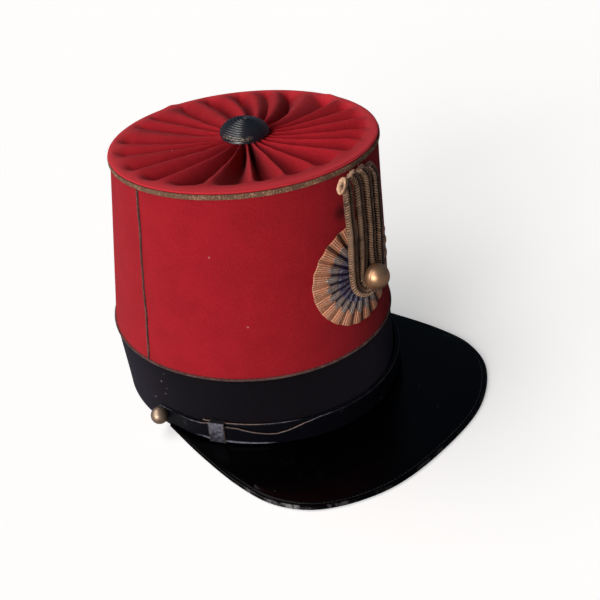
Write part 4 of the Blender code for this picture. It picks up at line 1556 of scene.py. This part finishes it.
def peak_stitches(edge, length, stitch):
    """Short stitches end to end in the groove."""
    shape = bmesh.new()
    shape.loops.layers.uv.new("weave")
    tones = shape.verts.layers.float.new("tone")
    first, last = SEAM_ENDS
    count = round((last - first) * length / stitch)
    for number in range(count):
        share = mix(first, last, (number + 0.5) / count)
        outer = edge(share)
        along = (edge(share + 0.002) - edge(share - 0.002)).normalized()
        inwards = Vector((-along.y, along.x, 0.0))
        made = bmesh.ops.create_icosphere(shape, subdivisions=2, radius=1.0)["verts"]
        size = Matrix.Diagonal((STITCH_SHARE * stitch, STITCH_HALF_WIDTH, STITCH_HALF_RISE, 1.0))
        facing = along.to_track_quat("X", "Z").to_matrix().to_4x4()
        height = PEAK_THICKNESS - SEAM_DEPTH + STITCH_LIFT
        place = Matrix.Translation(outer + inwards * SEAM_INSET + Vector((0.0, 0.0, height)))
        bmesh.ops.transform(shape, matrix=place @ facing @ size, verts=made)
    for vertex in shape.verts:
        vertex[tones] = 0.8
    return shape


def strap_shape(first, last, round_first, round_last, proud_at, low_at, high_at, wear_at):
    """A strap along the band. proud_at gives the middle of its thickness, low_at and high_at its two edges,
    and wear_at how bare its upper edge and how pale its lower edge is."""
    middle = (STRAP_LOW + STRAP_HIGH) / 2
    half_angle = math.degrees((STRAP_HIGH - STRAP_LOW) / 2 / oval_at(middle).half_length)

    def width_at(turn):
        share = 1.0
        if round_first:
            share = min(share, clamp((turn - first) / half_angle))
        if round_last:
            share = min(share, clamp((last - turn) / half_angle))
        return math.sqrt(max(0.0, 1.0 - (1.0 - share) ** 2))

    def place(u, v):
        turn = mix(first, last, u)
        end = 1.0 if 1e-6 < u < 1.0 - 1e-6 else 0.0
        centre = (low_at(turn) + high_at(turn)) / 2
        half = (high_at(turn) - low_at(turn)) / 2 * max(STRAP_TIP, width_at(turn))
        rise, side = bar_point(v, STRAP_LEATHER / 2, half, STRAP_CORNER)
        return on_wall(turn, centre + end * side, proud_at(turn, side / half) + end * rise)

    def tone(u, v):
        bare, pale_lower_edge = wear_at(mix(first, last, u))
        upper = ease(0.17, 0.20, v) * ease(0.34, 0.31, v)
        lower = ease(0.76, 0.80, v) * ease(0.945, 0.915, v)
        return clamp(max(upper * bare, 0.45 * lower * pale_lower_edge))

    shape = bent_sheet(260, 48, place, tone)
    bmesh.ops.recalc_face_normals(shape, faces=shape.faces)
    return shape


def make_chin_strap(leather):
    """Both halves of the chin strap. The right half lies on the left one, and its upper edge sags
    beside the keeper."""
    finish = strap_finish("strap_leather", tuple(leather.strap), tuple(leather.worn), tuple(leather.raw))
    button_turn = -turn_of(middle_of("side_button_right"))
    keeper_turn = -turn_of(middle_of("strap_keeper_right"))

    def over_proud(turn, side):
        rise = ease(-button_turn + CLIMB_FROM_BUTTON, -keeper_turn - CLIMB_TO_KEEPER, turn)
        lean = DIP_LEAN * reading(STRAP_DIP, turn) * side
        return mix(STRAP_UNDER, STRAP_OVER, rise) + STRAP_LEATHER / 2 + lean

    def under_proud(turn, side):
        return STRAP_UNDER + STRAP_LEATHER / 2

    def narrow(turn):
        near, far = WAIST_ONSET
        return STRAP_WAIST * ease(-keeper_turn - near, -keeper_turn - far, turn)

    def under_wear(turn):
        return reading(UNDER_BARE, turn), 0.0

    def over_wear(turn):
        return reading(OVER_BARE, turn), reading(OVER_LOWER_PALE, turn)

    first, last = turn_range("chin_strap_left")
    under = strap_shape(
        first, last, False, True, under_proud, lambda turn: STRAP_LOW, lambda turn: STRAP_HIGH, under_wear
    )
    add_piece("chin_strap_left_leather", under, [finish], ["chin_strap_left"], "patent_leather", 70.0)
    first, last = turn_range("chin_strap_right")
    over = strap_shape(
        first,
        last,
        True,
        False,
        over_proud,
        lambda turn: STRAP_LOW + narrow(turn) - DIP_BELOW * reading(STRAP_DIP, turn),
        lambda turn: STRAP_HIGH - narrow(turn) - reading(STRAP_DIP, turn),
        over_wear,
    )
    add_piece("chin_strap_right_leather", over, [finish], ["chin_strap_right"], "patent_leather", 70.0)


def make_keepers(leather):
    """The two loops of leather that hold the halves of the strap together."""
    finish = keeper_finish("worn_leather", tuple(leather.worn), tuple(leather.raw))
    near = GAP
    far = STRAP_OVER + STRAP_LEATHER + GAP + KEEPER_LEATHER
    low = STRAP_LOW - KEEPER_ROOM - KEEPER_LEATHER
    high = STRAP_HIGH + KEEPER_ROOM + KEEPER_LEATHER
    for side in ("right", "left"):
        node = "strap_keeper_" + side
        ends = turn_range(node)
        first, last = (mix(*ends, share) for share in KEEPER_STRETCH)

        def place(u, v, first=first, last=last):
            rise, side = bar_point(v, (far - near) / 2, (high - low) / 2, KEEPER_CORNER)
            pinch = KEEPER_PINCH * math.sin(math.pi * u) if rise > 0.0 else 0.0
            turn = mix(first, last, u) + KEEPER_SLANT * side
            return on_wall(turn, (low + high) / 2 + side, (near + far) / 2 + rise - pinch)

        def tone(u, v):
            cut = 0.8 * clamp(ease(0.07, 0.0, u) + ease(0.93, 1.0, u))
            return max(cut, 0.5 * ease(0.14, 0.19, min(v, 1.0 - v)))

        shape = bent_sheet(20, 72, place, tone)
        bmesh.ops.recalc_face_normals(shape, faces=shape.faces)
        piece = add_piece(node + "_leather", shape, [finish], [node], "worn_leather", 70.0)
        thicken(piece, KEEPER_LEATHER)


# ----------------------------------------------------------------------------
# Metal
# ----------------------------------------------------------------------------


def add_tone(shape, reader):
    """Gives each point of a shape its tone."""
    tones = shape.verts.layers.float.new("tone")
    for vertex in shape.verts:
        vertex[tones] = reader(vertex.co)


def ball_profile(radius, foot, middle_share):
    """A ball cut flat behind, at the foot, on a shank. A fine seam runs round where its halves
    meet."""
    middle = foot + middle_share * radius
    last = math.acos((foot - middle) / radius)
    profile = []
    for step in range(BALL_STEPS + 1):
        angle = last * step / BALL_STEPS
        off_seam = (angle - BALL_SEAM_ANGLE) / BALL_SEAM_WIDTH
        reach = radius - BALL_SEAM_DEPTH * math.exp(-(off_seam ** 2))
        profile.append((reach * math.sin(angle), middle + reach * math.cos(angle)))
    return profile + [(SHANK_RADIUS, foot), (SHANK_RADIUS, 0.0), (0.0, 0.0)]


def make_side_buttons(trim):
    """The ball buttons that hold the ends of the strap."""
    dulled = mix_colours(tuple(trim.brass), (0.56, 0.50, 0.42), 0.45)
    finish = brass_finish("old_brass", dulled, patina=0.75)
    foot = STRAP_UNDER + STRAP_LEATHER + SIDE_BUTTON_STANDOFF
    for side in ("right", "left"):
        node = "side_button_" + side
        shape = turned_shape(ball_profile(SIDE_BUTTON_RADIUS, foot, SIDE_BUTTON_MIDDLE), 56)
        add_tone(shape, lambda co: 0.35 + 0.4 * ease(0.009, 0.005, co.z))
        middle = middle_of(node)
        stand_on_wall(shape, turn_of(middle), middle.z, GAP)
        add_piece(node + "_ball", shape, [finish], [node], "brass", 50.0)


def make_cockade_button(trim):
    """The larger ball button in the eye of the cord loops."""
    finish = brass_finish("polished_brass", tuple(trim.brass), patina=0.45)
    middle = middle_of("cockade_button")
    foot = CORD_STRAND[-1].proud + COCKADE_BUTTON_STANDOFF
    shape = turned_shape(ball_profile(COCKADE_BUTTON_RADIUS, foot, COCKADE_BUTTON_MIDDLE), 64)
    add_tone(shape, lambda co: 0.5 * ease(foot + 0.0030, foot, co.z))
    stand_on_wall(shape, turn_of(middle) + COCKADE_BUTTON_TURN, middle.z, GAP)
    add_piece("cockade_button_ball", shape, [finish], ["cockade_button"], "brass", 50.0)


# ----------------------------------------------------------------------------
# Ribbon
# ----------------------------------------------------------------------------

# Each ring: its radii, its height off the wall, how far its outer edge swings in and out with the pleats, and
# how far the pleats on the wearer's right take their ridge colour, as painted light on the lit side.
CockadeRing = namedtuple("CockadeRing", "node outer inner rows base scallop pressed slot")
COCKADE_RINGS = (
    CockadeRing("cockade_outer", 0.0343, 0.0226, 16, 0.0022, 0.0000, 0.60, "copper_ribbon"),
    CockadeRing("cockade_middle", 0.0250, 0.0180, 12, 0.0030, 0.0016, 0.15, "silver_ribbon"),
    CockadeRing("cockade_centre", 0.0187, 0.0030, 20, 0.0034, 0.0004, 0.0, "blue_ribbon"),
)


def pleat_wave(angle):
    """The height of the cockade's pleats round it, from 0 in a valley to 1 on a ridge. A pleat
    leans, so one side of it is steeper."""
    phase = COCKADE_PLEATS * angle
    return 0.5 + 0.5 * math.sin(phase + COCKADE_LEAN * math.cos(phase))


def make_cockade(ribbon):
    """Three rings of pleated ribbon, each over the inner edge of the one outside it."""
    copper, silver, blue = tuple(ribbon.copper), tuple(ribbon.silver), tuple(ribbon.blue)
    navy = shade(blue, 0.22)
    purple = mix_colours(silver, blue, 0.85)
    # Painted shade for the copper ring's valleys.
    fold = shade(copper, 0.07)
    finishes = {
        "copper_ribbon": ribbon_finish("copper_ribbon", copper, fold, (1.0, 0.68, 0.46), 0.97, 0.05),
        "silver_ribbon": ribbon_finish("silver_ribbon", silver, navy, (0.85, 0.78, 0.72), 0.98, 0.30),
        "blue_ribbon": ribbon_finish("blue_ribbon", purple, navy, (0.75, 0.72, 0.80), 0.98, 0.20),
    }
    for ring in COCKADE_RINGS:

        def place(u, v, ring=ring):
            angle = math.tau * u
            wave = pleat_wave(angle)
            reach = mix(ring.outer + ring.scallop * (wave - 0.5) * 2.0, ring.inner, v)
            tuck = COCKADE_TUCK * ease(0.75, 1.0, v)
            height = COCKADE_HEIGHT + reach * math.sin(angle)
            across = COCKADE_ASIDE + reach * math.cos(angle)
            turn = math.degrees(across / oval_at(height).half_width)
            proud = ring.base + reading(COCKADE_RELIEF, reach) * (wave - 0.5) - tuck
            return on_wall(turn, height, proud)

        def tone(u, v, ring=ring):
            # Painted light: on the wearer's right, the lit side, the pleats take their ridge colour.
            pressed = ring.pressed * ease(0.20, 0.85, -math.cos(math.tau * u - 0.25))
            return mix(pleat_wave(math.tau * u), 1.0, pressed)

        shape = bent_sheet(COCKADE_PLEATS * COCKADE_STEPS, ring.rows, place, tone)
        bmesh.ops.recalc_face_normals(shape, faces=shape.faces)
        if sum(face.normal.y for face in shape.faces) > 0.0:
            bmesh.ops.reverse_faces(shape, faces=shape.faces)
        piece = add_piece(ring.node + "_ribbon", shape, [finishes[ring.slot]], [ring.node], ring.slot, 80.0)
        thicken(piece, COCKADE_RIBBON)


# ----------------------------------------------------------------------------
# Stage
# ----------------------------------------------------------------------------

CAMERA_AZIMUTH = math.radians(-41.7)
CAMERA_ELEVATION = math.radians(32.0)
CAMERA_ROLL = math.radians(-7.98)
CAMERA_DISTANCE = 0.586
CAMERA_LENS = 50.22
CAMERA_SENSOR = 36.0
CAMERA_ASIDE = 0.03417  # how far the camera and what it looks at are moved to its right
CAMERA_TARGET = Vector((0.0, 0.0300, 0.0434))  # what it looks at, before it is moved
FLOOR_RADIUS = 9.0
FLOOR_DROP = 0.0003  # how far the floor lies beneath the cap's foot


def make_camera():
    """The camera at the photograph's angle, tilted as it was held."""
    azimuth, elevation, roll = CAMERA_AZIMUTH, CAMERA_ELEVATION, CAMERA_ROLL
    back = Vector((math.sin(azimuth), -math.cos(azimuth), 0.0)) * math.cos(elevation)
    back.z = math.sin(elevation)
    right = Vector((math.cos(azimuth), math.sin(azimuth), 0.0))
    up = back.cross(right)
    target = right * CAMERA_ASIDE + CAMERA_TARGET
    level_right = right * math.cos(roll) + up * math.sin(roll)
    level_up = up * math.cos(roll) - right * math.sin(roll)
    data = bpy.data.cameras.new("camera")
    data.lens = CAMERA_LENS
    data.sensor_width = CAMERA_SENSOR
    data.sensor_fit = "HORIZONTAL"
    data.clip_start = 0.01
    camera = bpy.data.objects.new("camera", data)
    turning = Matrix((level_right, level_up, back)).transposed().to_4x4()
    camera.matrix_world = Matrix.Translation(target + back * CAMERA_DISTANCE) @ turning
    bpy.context.scene.collection.objects.link(camera)
    bpy.context.scene.camera = camera


def make_floor(stage):
    """A wide pale floor. It shows as lit paper, and gives less light back to the cap than it shows."""
    shape = bmesh.new()
    bmesh.ops.create_circle(shape, cap_ends=True, segments=96, radius=FLOOR_RADIUS)
    mesh = bpy.data.meshes.new("floor")
    shape.to_mesh(mesh)
    shape.free()
    floor = bpy.data.objects.new("floor", mesh)
    floor.location.z = -FLOOR_DROP
    bpy.context.scene.collection.objects.link(floor)
    finish = Finish("pale_floor", roughness=0.9, specular_ior_level=0.0)
    seen = finish.add("ShaderNodeLightPath", {}).outputs["Is Camera Ray"]
    finish.colour(finish.blend(seen, (0.30, 0.30, 0.31), tuple(stage.floor)))
    finish.put(finish.shader.inputs["Emission Color"], (1.0, 1.0, 1.0))
    finish.put(finish.shader.inputs["Emission Strength"], finish.math("MULTIPLY", seen, stage.glow))
    mesh.materials.append(finish.material)


def make_sun(name, towards, angle, strength, colour):
    """A light from a direction. It looks as wide as an angle in degrees, which softens its shadows."""
    data = bpy.data.lights.new(name, "SUN")
    data.energy = strength
    data.angle = math.radians(angle)
    data.color = colour
    light = bpy.data.objects.new(name, data)
    light.rotation_mode = "QUATERNION"
    light.rotation_quaternion = Vector(towards).to_track_quat("Z", "Y")
    bpy.context.scene.collection.objects.link(light)


def make_world(stage):
    """Soft light from all round, which gloss hardly mirrors."""
    world = bpy.data.worlds.new("room")
    bpy.context.scene.world = world
    world.use_nodes = True
    wiring = Wiring(world.node_tree)
    background = world.node_tree.nodes["Background"]
    rays = wiring.add("ShaderNodeLightPath", {}).outputs
    room = wiring.blend(rays["Is Glossy Ray"], (stage.fill,) * 3, (0.080, 0.110, 0.150))
    wiring.put(background.inputs["Color"], wiring.blend(rays["Is Camera Ray"], room, (1.0, 1.0, 1.0)))
    wiring.put(background.inputs["Strength"], 1.0)


def make_stage(stage):
    make_camera()
    make_floor(stage)
    make_sun("window", (-0.951, -0.255, 0.190), 36.0, stage.key, (1.0, 0.97, 0.93))
    make_sun("skylight", (-0.683, 0.183, 0.707), 50.0, stage.top, (1.0, 0.98, 0.96))
    make_sun("back_window", (-0.150, 0.500, 0.853), 30.0, stage.back, (1.0, 0.98, 0.96))
    make_world(stage)
    bpy.context.scene.view_settings.view_transform = "Standard"


# ----------------------------------------------------------------------------
# Operators
# ----------------------------------------------------------------------------


class KEPI_OT_groups(bpy.types.Operator):
    """Make the shader node groups that the materials share"""

    bl_idname = "kepi.groups"
    bl_label = "Shader groups"

    def execute(self, context):
        make_groups()
        return {"FINISHED"}


class KEPI_OT_crown(bpy.types.Operator):
    """Make the crown's side and its pleated top"""

    bl_idname = "kepi.crown"
    bl_label = "Crown"

    def execute(self, context):
        finish = make_crown_side(context.scene.kepi_cloth)
        make_crown_top(context.scene.kepi_cloth, finish)
        return {"FINISHED"}


class KEPI_OT_band(bpy.types.Operator):
    """Make the dark cloth band"""

    bl_idname = "kepi.band"
    bl_label = "Band"

    def execute(self, context):
        make_band(context.scene.kepi_cloth)
        return {"FINISHED"}


class KEPI_OT_top_button(bpy.types.Operator):
    """Wind the button of black cord on the top"""

    bl_idname = "kepi.top_button"
    bl_label = "Top button"

    def execute(self, context):
        make_top_button(context.scene.kepi_trim)
        return {"FINISHED"}


class KEPI_OT_top_braid(bpy.types.Operator):
    """Plait the gilt braid round the top of the crown"""

    bl_idname = "kepi.top_braid"
    bl_label = "Top braid"

    def execute(self, context):
        make_top_braid(context.scene.kepi_trim)
        return {"FINISHED"}


class KEPI_OT_piping(bpy.types.Operator):
    """Lay the twisted piping over the seams"""

    bl_idname = "kepi.piping"
    bl_label = "Piping"

    def execute(self, context):
        make_piping(context.scene.kepi_trim)
        return {"FINISHED"}


class KEPI_OT_peak(bpy.types.Operator):
    """Make the patent leather peak with its stitched edge"""

    bl_idname = "kepi.peak"
    bl_label = "Peak"

    def execute(self, context):
        make_peak(context.scene.kepi_leather)
        return {"FINISHED"}


class KEPI_OT_chin_strap(bpy.types.Operator):
    """Make both halves of the chin strap and their keepers"""

    bl_idname = "kepi.chin_strap"
    bl_label = "Chin strap"

    def execute(self, context):
        make_chin_strap(context.scene.kepi_leather)
        make_keepers(context.scene.kepi_leather)
        return {"FINISHED"}


class KEPI_OT_buttons(bpy.types.Operator):
    """Make the two side buttons and the button of the cockade"""

    bl_idname = "kepi.buttons"
    bl_label = "Metal buttons"

    def execute(self, context):
        make_side_buttons(context.scene.kepi_trim)
        make_cockade_button(context.scene.kepi_trim)
        return {"FINISHED"}


class KEPI_OT_cockade(bpy.types.Operator):
    """Pleat the three ribbons of the cockade"""

    bl_idname = "kepi.cockade"
    bl_label = "Cockade"

    def execute(self, context):
        make_cockade(context.scene.kepi_ribbon)
        return {"FINISHED"}


class KEPI_OT_cord_loops(bpy.types.Operator):
    """Lay the loops of bullion cord over the cockade"""

    bl_idname = "kepi.cord_loops"
    bl_label = "Cord loops"

    def execute(self, context):
        make_cord_loops(context.scene.kepi_trim)
        return {"FINISHED"}


class KEPI_OT_stage(bpy.types.Operator):
    """Set up the camera, the floor and the lights"""

    bl_idname = "kepi.stage"
    bl_label = "Stage"

    def execute(self, context):
        make_stage(context.scene.kepi_stage)
        return {"FINISHED"}


STEPS = (
    KEPI_OT_stage,
    KEPI_OT_groups,
    KEPI_OT_crown,
    KEPI_OT_band,
    KEPI_OT_top_button,
    KEPI_OT_top_braid,
    KEPI_OT_piping,
    KEPI_OT_peak,
    KEPI_OT_chin_strap,
    KEPI_OT_buttons,
    KEPI_OT_cockade,
    KEPI_OT_cord_loops,
)
SETTINGS = {
    "kepi_cloth": KepiCloth,
    "kepi_trim": KepiTrim,
    "kepi_leather": KepiLeather,
    "kepi_ribbon": KepiRibbon,
    "kepi_stage": KepiStage,
}


class KEPI_PT_parts(bpy.types.Panel):
    """The kepi's settings and its pieces, in the order in which they are made"""

    bl_idname = "KEPI_PT_parts"
    bl_label = "Officer's Kepi"
    bl_space_type = "VIEW_3D"
    bl_region_type = "UI"
    bl_category = "Kepi"

    def draw(self, context):
        for name, group in SETTINGS.items():
            box = self.layout.box()
            for setting in group.__annotations__:
                box.prop(getattr(context.scene, name), setting)
        for step in STEPS:
            self.layout.operator(step.bl_idname)


CLASSES = (*SETTINGS.values(), *STEPS, KEPI_PT_parts)


def register():
    for item in CLASSES:
        bpy.utils.register_class(item)
    for name, group in SETTINGS.items():
        setattr(bpy.types.Scene, name, PointerProperty(type=group))


def unregister():
    for name in SETTINGS:
        delattr(bpy.types.Scene, name)
    for item in reversed(CLASSES):
        bpy.utils.unregister_class(item)


def main():
    """Makes every piece."""
    register()
    for step in STEPS:
        family, action = step.bl_idname.split(".")
        getattr(getattr(bpy.ops, family), action)()
    bpy.context.view_layer.update()


if __name__ == "__main__":
    main()
